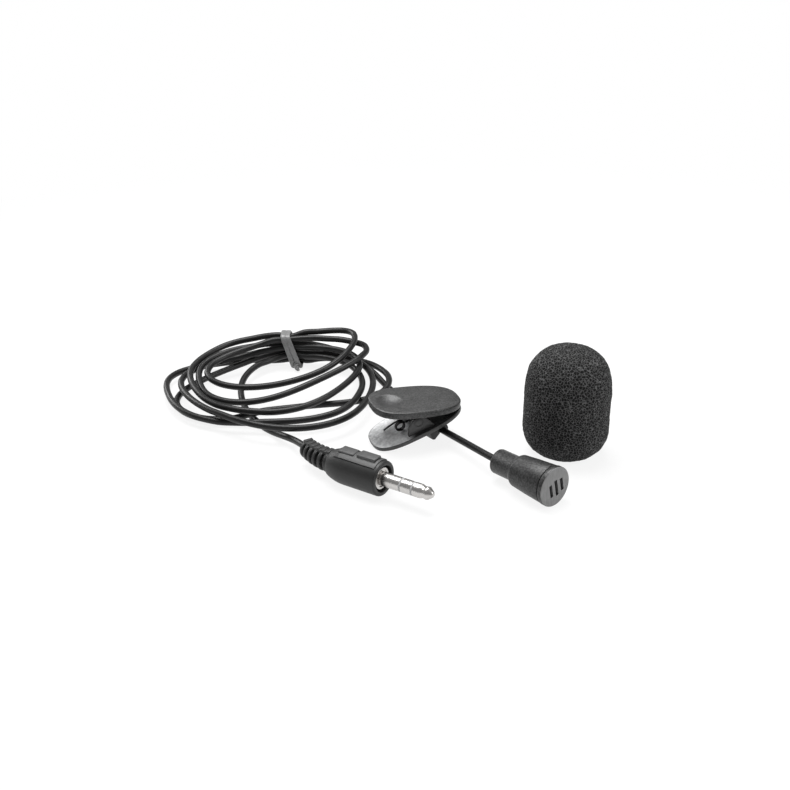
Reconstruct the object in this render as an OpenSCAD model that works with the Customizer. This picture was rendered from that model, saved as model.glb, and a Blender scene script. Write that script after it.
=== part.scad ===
// Lavalier microphone: capsule head, spring tie clip, tied cord, 3.5 mm plug and foam windscreen.
// Millimetres, +Z up. The set lies on a table at z = 0, and the origin is on the table under the
// middle of the head, clip and windscreen.

/* [Microphone head] */
// Diameter of the face
head_face_d = 10; // [9.4:0.1:12]
// Diameter just in front of the shoulder
head_shoulder_d = 8.2; // [8:0.1:8.8]
// Diameter of the neck
head_neck_d = 6.3; // [5.6:0.1:6.8]
// Length from the shoulder to the face
head_len = 13.2; // [13:0.1:15]
// Length of the neck
neck_len = 5.2; // [5:0.1:7]
// Width of a sound slot
slot_w = 0.8; // [0.4:0.05:0.9]
// Distance between two sound slots
slot_pitch = 1.85; // [1.4:0.05:1.9]
// Diameter of the electret capsule
capsule_d = 6; // [5:0.1:6]

/* [Tie clip] */
// Length of a jaw from the pin to its tip
jaw_tip_len = 12.8; // [12.6:0.1:14]
// Length of the upper jaw from the pin to its finger end
jaw_grip_len = 11.4; // [10.5:0.1:12]
// Length of the lower jaw from the pin to its finger end
lower_grip_len = 12.6; // [12:0.1:12.8]
// Width of a jaw
jaw_w = 14.2; // [14:0.1:15]
// Height of the upper jaw's rim
rim_h = 1.75; // [1.6:0.05:2]
// Slope of the lower jaw
lower_slope = 18.5; // [17:0.1:18.6]
// Slope of the upper jaw, finger end up
upper_slope = 4.5; // [4:0.1:5]
// Diameter of the hinge pin
pin_d = 1.4; // [1.2:0.1:1.6]
// Wire of the spring
spring_wire_d = 0.5; // [0.4:0.05:0.6]
// Turns of the spring
spring_turns = 2; // [1:1:2]

/* [Cord] */
// Diameter of the cord
cord_d = 1.8; // [1.6:0.1:1.8]
// Width of one wrap of the tie
tie_w = 1.6; // [1.2:0.1:2]

/* [Plug] */
// Diameter of the plug's shaft
shaft_d = 3.5; // [3.5:0.1:3.5]
// Length of the shaft in front of the grip
shaft_len = 14; // [14:0.1:14]
// Diameter of the grip
grip_d = 8.8; // [8.4:0.1:9.2]
// Length of the grip
grip_len = 15.5; // [15:0.5:18]
// Length of the strain relief
relief_len = 10.6; // [10.4:0.2:11.4]

/* [Windscreen] */
// Widest diameter of the foam
foam_d = 21.8; // [20:0.2:24]
// Height of the foam
foam_h = 28.7; // [26:0.1:30]
// Diameter of the hole for the head
foam_bore_d = 8.4; // [8:0.1:9]
// Depth of the hole
foam_bore_depth = 16; // [14:0.5:18]

/* [Hidden] */

$fn = 48;
black = [0.10, 0.10, 0.11];
dark_metal = [0.27, 0.27, 0.28];
nickel = [0.85, 0.85, 0.84];
foam_black = [0.12, 0.12, 0.12];
overlap = 0.05;
cord_r = cord_d / 2;

// ---- where each group lies ----
cap_t = 1.5;
head_az = -48.5;
head_pitch = 2.2;
head_rear = [
    1.6, -5.4,
    head_face_d / 2 * cos(head_pitch) - (neck_len + head_len - cap_t) * sin(head_pitch)
];
head_dir = [
    cos(head_pitch) * cos(head_az), cos(head_pitch) * sin(head_az), sin(head_pitch)
];
plug_rear = [-38.9, -5.95, 4.3];
plug_az = -34.8;
plug_pitch = 1.4;
clip_pivot = [-19.4, 13.8, 7.85];
clip_az = 21.2;
clip_roll = 3.8;
hook_pos = [-12.25, 14.6, 2.95];
foam_pos = [19.7, 8, 0];
tie_pos = [-54.1, 60.1, 0];

module at_head() {
    translate(head_rear) rotate([0, 90 - head_pitch, head_az]) children();
}

module at_plug() {
    translate(plug_rear) rotate([0, 90 - plug_pitch, plug_az]) children();
}

module at_clip() {
    translate(clip_pivot) rotate([clip_roll, 0, clip_az]) children();
}

// A ring or bush along Z.
module ring(r_out, r_in, z0, z1) {
    difference() {
        translate([0, 0, z0]) cylinder(r = r_out, h = z1 - z0);
        translate([0, 0, z0 - 1]) cylinder(r = r_in, h = z1 - z0 + 2);
    }
}

// ---- paths and tubes ----
function unit(v) = v / norm(v);

function tangent(path, i) = unit(path[min(i + 1, len(path) - 1)] - path[max(i - 1, 0)]);

// One closed tube along a path. up is a direction that the path never takes.
module tube(path, r, sides, up) {
    last = len(path) - 1;
    points = [
        for (i = [0:last])
            let (t = tangent(path, i), s = unit(cross(up, t)), u = cross(t, s))
                for (k = [0:sides - 1])
                    path[i] + r * (cos(360 * k / sides) * s + sin(360 * k / sides) * u)
    ];
    walls = [
        for (i = [0:last - 1])
            for (k = [0:sides - 1])
                let (a = i * sides + k, b = i * sides + (k + 1) % sides)
                    each [[a, a + sides, b], [b, a + sides, b + sides]]
    ];
    start_cap = [for (k = [1:sides - 2]) [0, k, k + 1]];
    end_cap = [for (k = [1:sides - 2]) [last * sides, last * sides + k + 1, last * sides + k]];
    polyhedron(points = points, faces = concat(walls, start_cap, end_cap));
}

// Least gap between the surfaces of a tube at points further apart along it than skip.
function self_gap(path, d, skip) =
    min([for (i = [0:len(path) - 1])
        for (j = [i + skip:1:len(path) - 1]) norm(path[i] - path[j])]) - d;

// Least gap between two tubes of one diameter.
function pair_gap(p, q, d) = min([for (a = p) for (b = q) norm(a - b)]) - d;

// ---- microphone head, along Z from the back of the neck ----
head_total = neck_len + head_len;
cap_back = head_total - cap_t;
spigot_r = 4.2;
spigot_h = 1;
spigot_back = cap_back - spigot_h;
boot_r = capsule_d / 2 + 0.4;
capsule_back = spigot_back - 3.5;
boot_back = capsule_back - 0.4;
chamber_r = 2.3;
neck_hole_r = 1.5;
neck_floor = 1.6;
cord_end = 5.6;

module capsule_housing() {
    neck_r = head_neck_d / 2;
    shoulder_r = head_shoulder_d / 2;
    round_r = shoulder_r - neck_r;
    front_r = head_face_d / 2 - 0.08;
    shoulder_arc = [for (a = [0:15:90])
        [neck_r + round_r * sin(a), neck_len + round_r * (1 - cos(a))]];
    color(dark_metal) at_head() difference() {
        rotate_extrude() polygon(concat(
            [[0, 0], [neck_r - 0.4, 0], [neck_r - 0.12, 0.12], [neck_r, 0.4]],
            shoulder_arc,
            [[front_r, cap_back], [0, cap_back]]
        ));
        translate([0, 0, -1]) cylinder(r = neck_hole_r, h = 3);
        translate([0, 0, neck_floor]) cylinder(r = chamber_r, h = boot_back - neck_floor + overlap);
        translate([0, 0, boot_back]) cylinder(r = boot_r, h = head_total);
        translate([0, 0, spigot_back]) cylinder(r = spigot_r, h = head_total);
    }
}

module front_cap() {
    edge = 0.25;
    face_r = head_face_d / 2;
    slot_lengths = [3.4, 4.2, 3.4];
    slot_turn = 11;
    slots_off = [0.4, 0.5];
    color(dark_metal) at_head() difference() {
        union() {
            rotate_extrude() polygon([
                [0, cap_back], [face_r - 0.1, cap_back], [face_r, cap_back + 0.1],
                [face_r, head_total - edge], [face_r - edge * 0.3, head_total - edge * 0.3],
                [face_r - edge, head_total], [0, head_total]
            ]);
            translate([0, 0, spigot_back]) cylinder(r = spigot_r, h = spigot_h + overlap);
        }
        translate([0, 0, spigot_back - 1]) cylinder(r = boot_r, h = spigot_h + 1);
        translate(slots_off) rotate([0, 0, slot_turn]) for (i = [0:2])
            translate([-slot_lengths[i] / 2, (i - 1) * slot_pitch - slot_w / 2, cap_back - overlap])
                cube([slot_lengths[i], slot_w, 2 * cap_t]);
    }
}

module dust_mesh() {
    color(black) at_head() translate([0, 0, cap_back - 0.3]) cylinder(r = boot_r, h = 0.3);
}

module electret_capsule() {
    color(nickel) at_head() difference() {
        translate([0, 0, capsule_back]) cylinder(d = capsule_d, h = 3.5);
        translate([0, 0, spigot_back - 0.3]) cylinder(r = 1, h = 1);
    }
}

module capsule_boot() {
    color(black) at_head() union() {
        ring(boot_r, capsule_d / 2, boot_back, cap_back - 0.3);
        ring(boot_r, 1.9, boot_back, capsule_back);
    }
}

module signal_wires() {
    wire_offset = 0.55;
    color("firebrick") at_head() for (side = [-1, 1])
        translate([0, side * wire_offset, cord_end]) cylinder(d = 0.5, h = capsule_back - cord_end);
}

module cord_ferrule() {
    color("goldenrod") at_head() ring(1.6, cord_r, 2.4, 4.8);
}

module cord_grommet() {
    color(black) at_head() union() {
        ring(neck_hole_r, cord_r, 0, neck_floor + 0.6);
        ring(chamber_r, cord_r, neck_floor, neck_floor + 0.6);
    }
}

// ---- tie clip, X from the pin towards the tip, Y across, Z up ----
plate_t = 1;
lower_t = 1.2;
lower_narrower = 0.9;
rim_gap = 2.25;
tip_land = 0.75;
tip_play = 0.15;
widest_x = -1.2;
ear_in = 4.4;
ear_t = 0.9;
ear_out = ear_in + ear_t;
lug_in = 2.5;
lug_t = 0.9;
pin_play = 0.05;
// How far the lower jaw lies below the pin, so that both tips meet along the land.
lower_drop = ((jaw_tip_len - tip_land) * (sin(lower_slope) + sin(upper_slope))
    - rim_gap * cos(upper_slope) + tip_play) / cos(lower_slope);

// One quadrant of a jaw's outline, a superellipse from the widest point to one end.
function jaw_quadrant(half_len, half_w, power) = [
    for (a = [0:6:90]) [half_len * pow(sin(a), 2 / power), half_w * pow(cos(a), 2 / power)]
];

// A jaw's outline. It is a little fuller towards the fingers.
function jaw_outline(grip_len, width, inset) =
    let (
        tip = jaw_quadrant(jaw_tip_len - widest_x - inset, width / 2 - inset, 2.7),
        grip = jaw_quadrant(grip_len + widest_x - inset, width / 2 - inset, 2.85),
        last = len(tip) - 1
    )
        concat(
            [for (i = [0:last]) [widest_x + tip[i][0], tip[i][1]]],
            [for (i = [last - 1:-1:0]) [widest_x + tip[i][0], -tip[i][1]]],
            [for (i = [1:last]) [widest_x - grip[i][0], -grip[i][1]]],
            [for (i = [last - 1:-1:1]) [widest_x - grip[i][0], grip[i][1]]]
        );

module jaw_slab(grip_len, width, inset, z0, z1) {
    translate([0, 0, z0]) linear_extrude(z1 - z0) polygon(jaw_outline(grip_len, width, inset));
}

// A cross bar along Y.
module cross_bar(d, y0, y1) {
    translate([0, y0, 0]) rotate([-90, 0, 0]) cylinder(d = d, h = y1 - y0);
}

module lower_jaw() {
    top = -lower_drop;
    bevel = 0.2;
    width = jaw_w - lower_narrower;
    tooth_x = [jaw_tip_len - 3.6, jaw_tip_len - 2.6, jaw_tip_len - 1.6];
    color(dark_metal) union() {
        at_clip() rotate([0, -lower_slope, 0]) difference() {
            union() {
                jaw_slab(lower_grip_len, width, 0, top - lower_t + bevel, top);
                hull() {
                    jaw_slab(lower_grip_len, width, 0, top - lower_t + bevel, top - bevel);
                    jaw_slab(lower_grip_len, width, bevel, top - lower_t, top - bevel);
                }
                for (side = [-1, 1]) ear(side, top);
                for (x = tooth_x) translate([x, -2, top - 0.1]) cube([0.5, 4, 0.45]);
            }
            cross_bar(pin_d, -20, 20);
        }
        difference() {
            cord_hook();
            at_clip() rotate([0, -lower_slope, 0])
                translate([-5, -10, top - lower_t / 2]) cube([20, 20, 5]);
        }
    }
}

// Upright ear of the lower jaw that carries the pin.
module ear(side, top) {
    translate([0, side * (ear_in + ear_t / 2), 0]) rotate([90, 0, 0])
        linear_extrude(ear_t, center = true)
            polygon([
                [-3.6, top - 0.1], [-3.3, -1.7], [-3.1, -0.8], [-2.6, 0], [-1.7, 0.7],
                [-0.8, 1.2], [0.8, 1.3], [1.8, 0.7], [2.9, -1], [3.6, top - 0.1]
            ]);
}

// Open ring under the lower jaw that the cord snaps into and slides through.
hook_len = 3.5;
hook_r = 1.9;
hook_play = 0.05;
lead_bend = 1.4;
bend_pos = head_rear - lead_bend * head_dir;
lead_dir = unit(bend_pos - hook_pos);

module along_lead() {
    translate(hook_pos) rotate([0, acos(lead_dir[2]), atan2(lead_dir[1], lead_dir[0])]) children();
}

// The ring's profile has X down and Y to the windscreen's side. Its mouth is a wide wedge.
module cord_hook() {
    post_w = 2.6;
    post_h = 3.9;
    mouth = [-80, 49];
    along_lead() difference() {
        translate([0, 0, -hook_len / 2]) linear_extrude(hook_len) union() {
            circle(r = hook_r);
            translate([-post_h, -post_w / 2]) square([post_h, post_w]);
            polygon([[-3.4, -4.4], [-1.6, -4.4], [1.9, -3.1], [2.1, -2.3], [0, 0], [-3, 0]]);
        }
        cylinder(r = cord_r + hook_play, h = 2 * hook_len, center = true);
        translate([0, 0, -hook_len]) linear_extrude(2 * hook_len) polygon([
            [0, 0], 6 * [cos(mouth[0]), -sin(mouth[0])], [6, 3], [6, -3],
            6 * [cos(mouth[1]), -sin(mouth[1])]
        ]);
    }
}

module hinge_pin() {
    head_t = 0.4;
    color(dark_metal) at_clip() union() {
        cross_bar(pin_d, -ear_out, ear_out);
        cross_bar(2.2, ear_out, ear_out + head_t);
        cross_bar(2.2, -ear_out - head_t, -ear_out);
    }
}

// Spring between the levers: a leg under the upper jaw, two curls, and a leg on the lower jaw.
curl_r = 1.25;
curl_centre = [-3.55, -1.9, -2.55];
curl_pitch = 0.95;
curl_from = 90;
curl_to = 150 + 360 * spring_turns;
curl_steps = 8 * spring_turns + 1;

function curl_point(i) =
    let (a = curl_from + (curl_to - curl_from) * i / curl_steps)
        curl_centre + [curl_r * cos(a), curl_pitch * (a - curl_from) / 360, curl_r * sin(a)];

function spring_path() =
    let (
        y = curl_centre[1],
        jaw_under = rim_gap + rim_h - plate_t,
        last = curl_point(curl_steps)
    )
        concat(
            [[-1.1, y, jaw_under], [-1.1, y, 2], [-1.12, y, 0.6], [-1.2, y, -0.4]],
            [[-1.6, y, -1.05], [-2.4, y, -1.3]],
            [for (i = [0:curl_steps]) curl_point(i)],
            [last + [-0.35, 0.15, -0.5], last + [-1, 0.75, -1.6], last + [-1.65, 1.35, -2.6]],
            [last + [-1.85, 1.55, -2.9]]
        );

module torsion_spring() {
    path = spring_path();
    curls = [for (i = [0:8 * curl_steps]) curl_point(i / 8)];
    echo(spring_self_gap = self_gap(curls, spring_wire_d, 32));
    color(black) at_clip() tube(path, spring_wire_d / 2, 6, [0, 1, 0]);
}

module upper_jaw() {
    under = rim_gap;
    top = rim_gap + rim_h;
    bevel = 0.3;
    dish_x = -6.4;
    dish_r = 3.3;
    dish_depth = 0.55;
    ball_r = (dish_r * dish_r + dish_depth * dish_depth) / (2 * dish_depth);
    color(dark_metal) at_clip() rotate([0, upper_slope, 0]) difference() {
        union() {
            difference() {
                union() {
                    jaw_slab(jaw_grip_len, jaw_w, 0, under, top - bevel);
                    hull() {
                        jaw_slab(jaw_grip_len, jaw_w, 0, top - bevel - 0.1, top - bevel);
                        jaw_slab(jaw_grip_len, jaw_w, bevel, top - 0.1, top);
                    }
                }
                jaw_slab(jaw_grip_len, jaw_w, 0.8, under - 1, top - plate_t);
            }
            for (side = [-1, 1]) lug(side, top - plate_t);
        }
        translate([dish_x, 0, top - dish_depth + ball_r]) sphere(r = ball_r, $fn = 96);
        cross_bar(pin_d + 2 * pin_play, -20, 20);
        rotate([0, -lower_slope - upper_slope, 0])
            translate([jaw_tip_len / 2, -10, -lower_drop - 3]) cube([10, 20, 3 + tip_play]);
    }
}

// Lug of the upper jaw that turns on the pin.
module lug(side, plate_under) {
    lug_r = 1.5;
    translate([0, side * (lug_in + lug_t / 2) - lug_t / 2, 0]) union() {
        cross_bar(2 * lug_r, 0, lug_t);
        translate([-lug_r, 0, 0]) cube([2 * lug_r, lug_t, plate_under + 0.1]);
    }
}

// ---- cord ----
// The cord is one length. It is followed from the plug: a lead across the table and into the tie,
// six loose turns that lie on the table and on each other, and a lead from the tie to the clip.
// In the tie the strands lie in two columns, a layer apart.
column = 2.4;
layer = 2.35;
tie_t = 0.65;
tie_gap = 0.3;
bundle_lift = tie_t + tie_gap;

plug_route = [
    [-46.67, 3.83, 3.6], [-48.6, 7.05, 2.98], [-50.76, 10.1, 2.32], [-53.22, 12.94, 1.73],
    [-55.74, 15.75, 1.2], [-58.1, 18.7, 0.9], [-60.28, 21.82, 0.9], [-62.23, 25.08, 0.9],
    [-63.89, 28.5, 0.92], [-65.23, 32.04, 1.25], [-66.24, 35.7, 1.54], [-66.87, 39.43, 1.88],
    [-66.99, 43.21, 2.24], [-66.46, 46.95, 2.63], [-65.2, 50.52, 2.99], [-63.21, 53.74, 3.31],
    [-60.52, 56.41, 3.25], [-57.35, 58.35, 3.76]
];

coil_route = [
    [-54.1, 58.89, 4.15], [-50.16, 58.4, 3.87], [-46.3, 57.45, 4.19], [-42.57, 56.01, 4.26],
    [-39.17, 53.93, 4.22], [-36.37, 51.09, 4.1], [-34.41, 47.62, 3.95], [-33.25, 43.81, 3.91],
    [-32.76, 39.84, 4.1], [-32.83, 35.85, 4.3], [-33.42, 31.91, 4.56], [-34.6, 28.1, 4.31],
    [-36.46, 24.58, 4.12], [-39.12, 21.61, 3.96], [-42.47, 19.46, 3.83], [-46.24, 18.14, 3.66],
    [-50.17, 17.44, 3.52], [-54.16, 17.17, 3.43], [-58.15, 17.21, 3.29], [-62.13, 17.48, 2.99],
    [-66.09, 18, 2.77], [-70, 18.81, 2.56], [-73.79, 20.05, 2.67], [-77.32, 21.91, 2.71],
    [-80.35, 24.51, 2.74], [-82.82, 27.65, 2.77], [-84.76, 31.14, 2.75], [-86.25, 34.85, 2.66],
    [-87.44, 38.66, 2.56], [-88.17, 42.59, 2.44], [-87.99, 46.57, 2.31], [-86.48, 50.24, 2.17],
    [-83.81, 53.2, 2.04], [-80.5, 55.43, 1.91], [-76.9, 57.16, 1.81], [-73.16, 58.56, 1.73],
    [-69.33, 59.69, 1.68], [-65.43, 60.57, 1.65], [-61.5, 61.15, 1.24], [-57.6, 61.34, 1.33],
    [-53.68, 61.3, 1.78], [-49.75, 61.37, 1.2], [-45.81, 61.3, 1.83], [-41.83, 60.96, 2.03],
    [-37.93, 60.11, 2.16], [-34.29, 58.5, 2.32], [-31.16, 56.03, 2.56], [-28.64, 52.95, 2.77],
    [-26.7, 49.46, 2.97], [-25.47, 45.67, 3.18], [-25.33, 41.69, 3.23], [-26.42, 37.89, 2.82],
    [-28.89, 34.8, 2.5], [-32.22, 32.62, 2.23], [-35.9, 31.07, 2.29], [-39.72, 29.89, 2.44],
    [-43.58, 28.86, 2.61], [-47.43, 27.79, 2.75], [-51.23, 26.56, 2.87], [-54.97, 25.16, 3.11],
    [-58.68, 23.71, 3.3], [-62.43, 22.41, 3], [-66.26, 21.56, 2.25], [-70.23, 21.49, 1.9],
    [-74.07, 22.48, 1.56], [-77.52, 24.46, 1.26], [-80.45, 27.15, 1], [-82.75, 30.42, 0.9],
    [-84.08, 34.17, 0.9], [-83.95, 38.14, 0.98], [-82.5, 41.85, 1.17], [-80.25, 45.14, 1.4],
    [-77.55, 48.07, 1.69], [-74.59, 50.74, 2.01], [-71.49, 53.24, 2.35], [-68.29, 55.61, 2.72],
    [-64.97, 57.78, 3.2], [-61.5, 59.71, 3.64], [-57.71, 60.96, 3.95], [-53.77, 61.3, 4.17],
    [-49.82, 60.82, 4.06], [-45.95, 59.87, 4.42], [-42.21, 58.48, 4.55], [-38.72, 56.53, 4.64],
    [-35.58, 54.07, 4.63], [-33.11, 50.94, 4.65], [-31.37, 47.34, 4.67], [-30.28, 43.5, 4.69],
    [-29.78, 39.54, 4.72], [-29.82, 35.54, 4.77], [-30.33, 31.58, 4.69], [-31.23, 27.69, 4.57],
    [-32.54, 23.91, 4.47], [-34.36, 20.36, 4.4], [-36.84, 17.24, 4.36], [-39.93, 14.71, 4.35],
    [-43.48, 12.88, 4.36], [-47.32, 11.78, 4.41], [-51.3, 11.46, 4.49], [-55.27, 11.86, 4.58],
    [-59.12, 12.91, 4.67], [-62.8, 14.47, 4.77], [-66.3, 16.4, 4.85], [-69.62, 18.63, 4.95],
    [-72.67, 21.2, 4.77], [-75.43, 24.09, 4.62], [-77.89, 27.23, 4.47], [-80.06, 30.59, 4.34],
    [-81.87, 34.15, 4.23], [-83.18, 37.92, 4.14], [-83.62, 41.88, 4.06], [-82.77, 45.77, 4.03],
    [-80.55, 49.06, 4.03], [-77.43, 51.53, 4.29], [-73.88, 53.36, 4.51], [-70.16, 54.76, 4.89],
    [-66.41, 56.07, 5.34], [-62.62, 57.24, 5.85], [-58.76, 58.21, 6.23], [-54.87, 58.89, 6.55],
    [-50.87, 58.79, 6.62], [-46.91, 58.32, 6.83], [-43.04, 57.34, 6.86], [-39.38, 55.73, 6.88],
    [-36.26, 53.27, 6.78], [-34.2, 49.88, 6.54], [-33.67, 45.96, 6.24], [-34.44, 42.05, 6.05],
    [-35.95, 38.37, 5.72], [-37.89, 34.89, 5.41], [-40.09, 31.56, 5.15], [-42.57, 28.43, 4.91],
    [-45.41, 25.63, 4.73], [-48.65, 23.29, 4.59], [-52.26, 21.6, 4.5], [-56.14, 20.65, 4.51],
    [-60.12, 20.48, 4.71], [-64.07, 21.06, 4.81], [-67.86, 22.31, 4.84], [-71.33, 24.29, 4.78],
    [-74.28, 26.96, 4.88], [-76.67, 30.16, 5.07], [-78.62, 33.65, 5.29], [-80.14, 37.33, 5.51],
    [-81.09, 41.21, 5.76], [-81.19, 45.18, 6.03], [-80.12, 49, 6.4], [-78.29, 52.54, 6.69],
    [-75.96, 55.77, 7.01], [-73.12, 58.55, 7.37], [-69.65, 60.48, 7.74], [-65.81, 61.44, 8.19],
    [-61.89, 61.67, 8.88], [-57.98, 61.45, 9.32], [-54.02, 61.31, 8.98], [-50.27, 61.78, 10.06],
    [-46.32, 62.3, 10.08], [-42.34, 62.41, 10.35], [-38.5, 61.48, 10.71], [-35.8, 58.66, 11.01],
    [-35.3, 54.77, 10.61], [-36.29, 50.95, 10.01], [-37.98, 47.4, 9.3], [-40.17, 44.15, 8.53],
    [-42.94, 41.39, 7.73], [-46.19, 39.18, 7.01], [-49.73, 37.43, 6.41], [-53.45, 36.03, 5.92],
    [-57.29, 35.01, 5.55], [-61.24, 34.42, 5.3], [-65.23, 34.43, 5.18], [-69.14, 35.19, 5.17],
    [-72.72, 36.94, 5.29], [-75.45, 39.81, 5.56], [-76.54, 43.58, 5.98], [-75.53, 47.37, 6.46],
    [-73.03, 50.44, 6.92], [-69.91, 52.9, 7.37], [-66.53, 54.99, 7.79], [-62.99, 56.77, 8.32],
    [-59.3, 58.07, 9.1], [-55.43, 58.88, 8.94], [-51.46, 59.06, 9.23], [-47.49, 59.27, 9.31],
    [-43.51, 59.49, 9], [-39.54, 59.09, 8.9], [-35.75, 57.89, 8.65], [-32.69, 55.39, 8.74],
    [-31.8, 51.58, 8.73], [-33.09, 47.82, 8.68], [-35.42, 44.62, 8.24], [-38.24, 41.86, 7.65],
    [-41.31, 39.38, 7.01], [-44.5, 37.04, 6.39], [-47.73, 34.78, 5.76], [-51.03, 32.58, 5.2],
    [-54.44, 30.56, 4.72], [-58.06, 28.91, 4.34], [-61.9, 27.84, 4.08], [-65.88, 27.6, 3.94],
    [-69.78, 28.42, 3.92], [-73.24, 30.37, 4.04], [-75.89, 33.33, 4.29], [-77.58, 36.93, 4.67],
    [-78.63, 40.75, 5.19], [-78.86, 44.68, 5.8], [-77.74, 48.47, 6.33], [-75.43, 51.68, 6.72],
    [-72.47, 54.35, 7], [-69.14, 56.56, 7.05], [-65.57, 58.36, 7], [-61.91, 59.97, 7.06],
    [-58.06, 60.97, 6.79], [-54.1, 61.32, 6.57]
];

clip_route = [
    [-50.74, 61.89, 6.54], [-46.95, 62.09, 5.89], [-43.21, 61.39, 5.25], [-39.71, 59.91, 4.59],
    [-36.54, 57.8, 3.94], [-33.71, 55.26, 3.22], [-31.18, 52.43, 2.53], [-29.02, 49.29, 1.9],
    [-27.14, 45.96, 1.3], [-25.23, 42.63, 0.9], [-23.46, 39.19, 0.91], [-21.85, 35.68, 1.04],
    [-20.38, 32.11, 1.28], [-19, 28.51, 1.55], [-17.66, 24.9, 1.92], [-16.21, 21.34, 2.27]
];

// A place on the smooth curve through a route, the share u of the way from point i to the next.
function on_curve(route, i, u) =
    let (
        a = route[max(i - 1, 0)],
        b = route[i],
        c = route[i + 1],
        d = route[min(i + 2, len(route) - 1)],
        p = (2 * b + (c - a) * u + (2 * a - 5 * b + 4 * c - d) * pow(u, 2)
            + (3 * b - a - 3 * c + d) * pow(u, 3)) / 2
    )
        [p[0], p[1], max(p[2], cord_r)];

function curve(route, parts) = [
    for (i = [0:len(route) - 2]) for (k = [0:parts - 1]) on_curve(route, i, k / parts),
    route[len(route) - 1]
];

// The straight stretch through the hook, and the short one into the head. They meet face to face.
lead_behind = 4;
lead_back = hook_pos - lead_behind * lead_dir;

module mic_lead() {
    run = lead_behind + norm(bend_pos - hook_pos);
    color(black) difference() {
        along_lead() translate([0, 0, -lead_behind]) cylinder(r = cord_r, h = run + cord_d);
        at_head() translate([-5, -5, -lead_bend]) cube(10);
    }
}

module lead_end() {
    color(black) at_head() translate([0, 0, -lead_bend])
        cylinder(r = cord_r, h = lead_bend + cord_end);
}

module clip_lead() {
    path = curve(coil_route, 2);
    last = len(path) - 1;
    out = unit(path[last] - path[last - 1]);
    route = concat(
        [path[last] + cord_d * out],
        clip_route,
        [lead_back - cord_d * lead_dir]
    );
    echo(clip_lead_to_coil_gap = pair_gap(curve(clip_route, 4), curve(coil_route, 4), cord_d));
    color(black) tube(concat([path[last]], curve(route, 2), [lead_back]), cord_r, 8, [0, 0, 1]);
}

module cord_coil() {
    echo(coil_self_gap = self_gap(curve(coil_route, 5), cord_d, 10));
    color(black) tube(curve(coil_route, 2), cord_r, 6, [0, 0, 1]);
}

module plug_lead() {
    path = curve(coil_route, 2);
    in = unit(path[1] - path[0]);
    route = concat([relief_point(relief_len + cord_r)], plug_route, [path[0] - cord_d * in]);
    echo(plug_lead_to_coil_gap = pair_gap(curve(plug_route, 4), curve(coil_route, 4), cord_d));
    color(black) tube(
        concat([relief_point(relief_len)], curve(route, 2), [path[0]]), cord_r, 8, [0, 0, 1]
    );
}

// Two wraps of a twist tie round the bundle, with the twisted end on top.
module cable_tie() {
    inner_w = column + cord_d + 2 * tie_gap;
    inner_h = 3 * layer + cord_d + 2 * tie_gap;
    middle = cord_r + bundle_lift + 1.5 * layer;
    color(black) translate([tie_pos[0], tie_pos[1], middle]) union() {
        for (x = [-1, 1] * 0.55 * tie_w)
            translate([x, 0, 0]) rotate([90, 0, 90]) linear_extrude(tie_w, center = true)
                difference() {
                    rounded(inner_w + 2 * tie_t, inner_h + 2 * tie_t, 1.5);
                    rounded(inner_w, inner_h, 0.8);
                }
        translate([-0.4, 0, inner_h / 2 + tie_t - 0.4]) rotate([0, -14, 0]) cylinder(r = 0.8, h = 1.6);
    }
}

module rounded(w, h, r) {
    hull() for (x = [-1, 1], y = [-1, 1])
        translate([x * (w / 2 - r), y * (h / 2 - r)]) circle(r = r, $fn = 24);
}

// ---- plug, along Z from the back of the grip to the tip ----
shaft_r = shaft_d / 2;
grip_r = grip_d / 2;
relief_bend = 30;
relief_radius = relief_len / relief_bend * 180 / PI;
rib_t = 1;
face_z = grip_len;
tip_z = grip_len + shaft_len;
recess_depth = 1.4;
collar_z = face_z - recess_depth;
insulator_w = 0.5;
front_insulator_z = tip_z - 5.6;
rear_insulator_z = tip_z - 8.9;
core_back = 9;

// A place on the strain relief's bent axis, s back from the grip, in the plug's own frame.
function relief_local(s) =
    let (a = s / relief_radius * 180 / PI)
        [0, relief_radius * (1 - cos(a)), -relief_radius * sin(a)];

// The same place in the set's frame. The relief runs on straight behind its end.
function relief_point(s) =
    let (
        on = min(s, relief_len - rib_t),
        a = on / relief_radius * 180 / PI,
        p = relief_local(on) + (s - on) * [0, sin(a), -cos(a)],
        tilt = 90 - plug_pitch,
        q = [p[0] * cos(tilt) + p[2] * sin(tilt), p[1], -p[0] * sin(tilt) + p[2] * cos(tilt)]
    )
        plug_rear + [
            q[0] * cos(plug_az) - q[1] * sin(plug_az),
            q[0] * sin(plug_az) + q[1] * cos(plug_az),
            q[2]
        ];

module on_relief(s) {
    translate(relief_local(s)) rotate([s / relief_radius * 180 / PI, 0, 0]) children();
}

module plug_grip() {
    bar_w = 3;
    bars = [[2, 14.2, 0.35], [3.4, 7.4, 0.55], [8.5, 13.8, 0.8]];
    line_w = 0.3;
    line_t = 0.35;
    color(black) at_plug() difference() {
        union() {
            rotate_extrude() polygon([
                [0, 0], [3.1, 0], [3.5, 0.5], [3.8, 1.2], [4.1, 2.4], [grip_r - 0.05, 3.8],
                [grip_r, 5], [grip_r, face_z - 0.5], [grip_r - 0.15, face_z - 0.15],
                [grip_r - 0.4, face_z], [0, face_z]
            ]);
            for (bar = bars)
                translate([-grip_r - bar[2], -bar_w / 2, bar[0]])
                    cube([grip_r, bar_w, bar[1] - bar[0]]);
        }
        for (side = [-1, 1])
            translate([-grip_r - 1, side * (bar_w + line_w) / 2 - line_w / 2, bars[0][0]])
                cube([1 + line_t, line_w, bars[0][1] - bars[0][0]]);
        translate([0, 0, collar_z]) cylinder(r = 3.3, h = 5);
        translate([0, 0, core_back - 5]) cylinder(r = 2.1, h = 11);
    }
}

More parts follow.
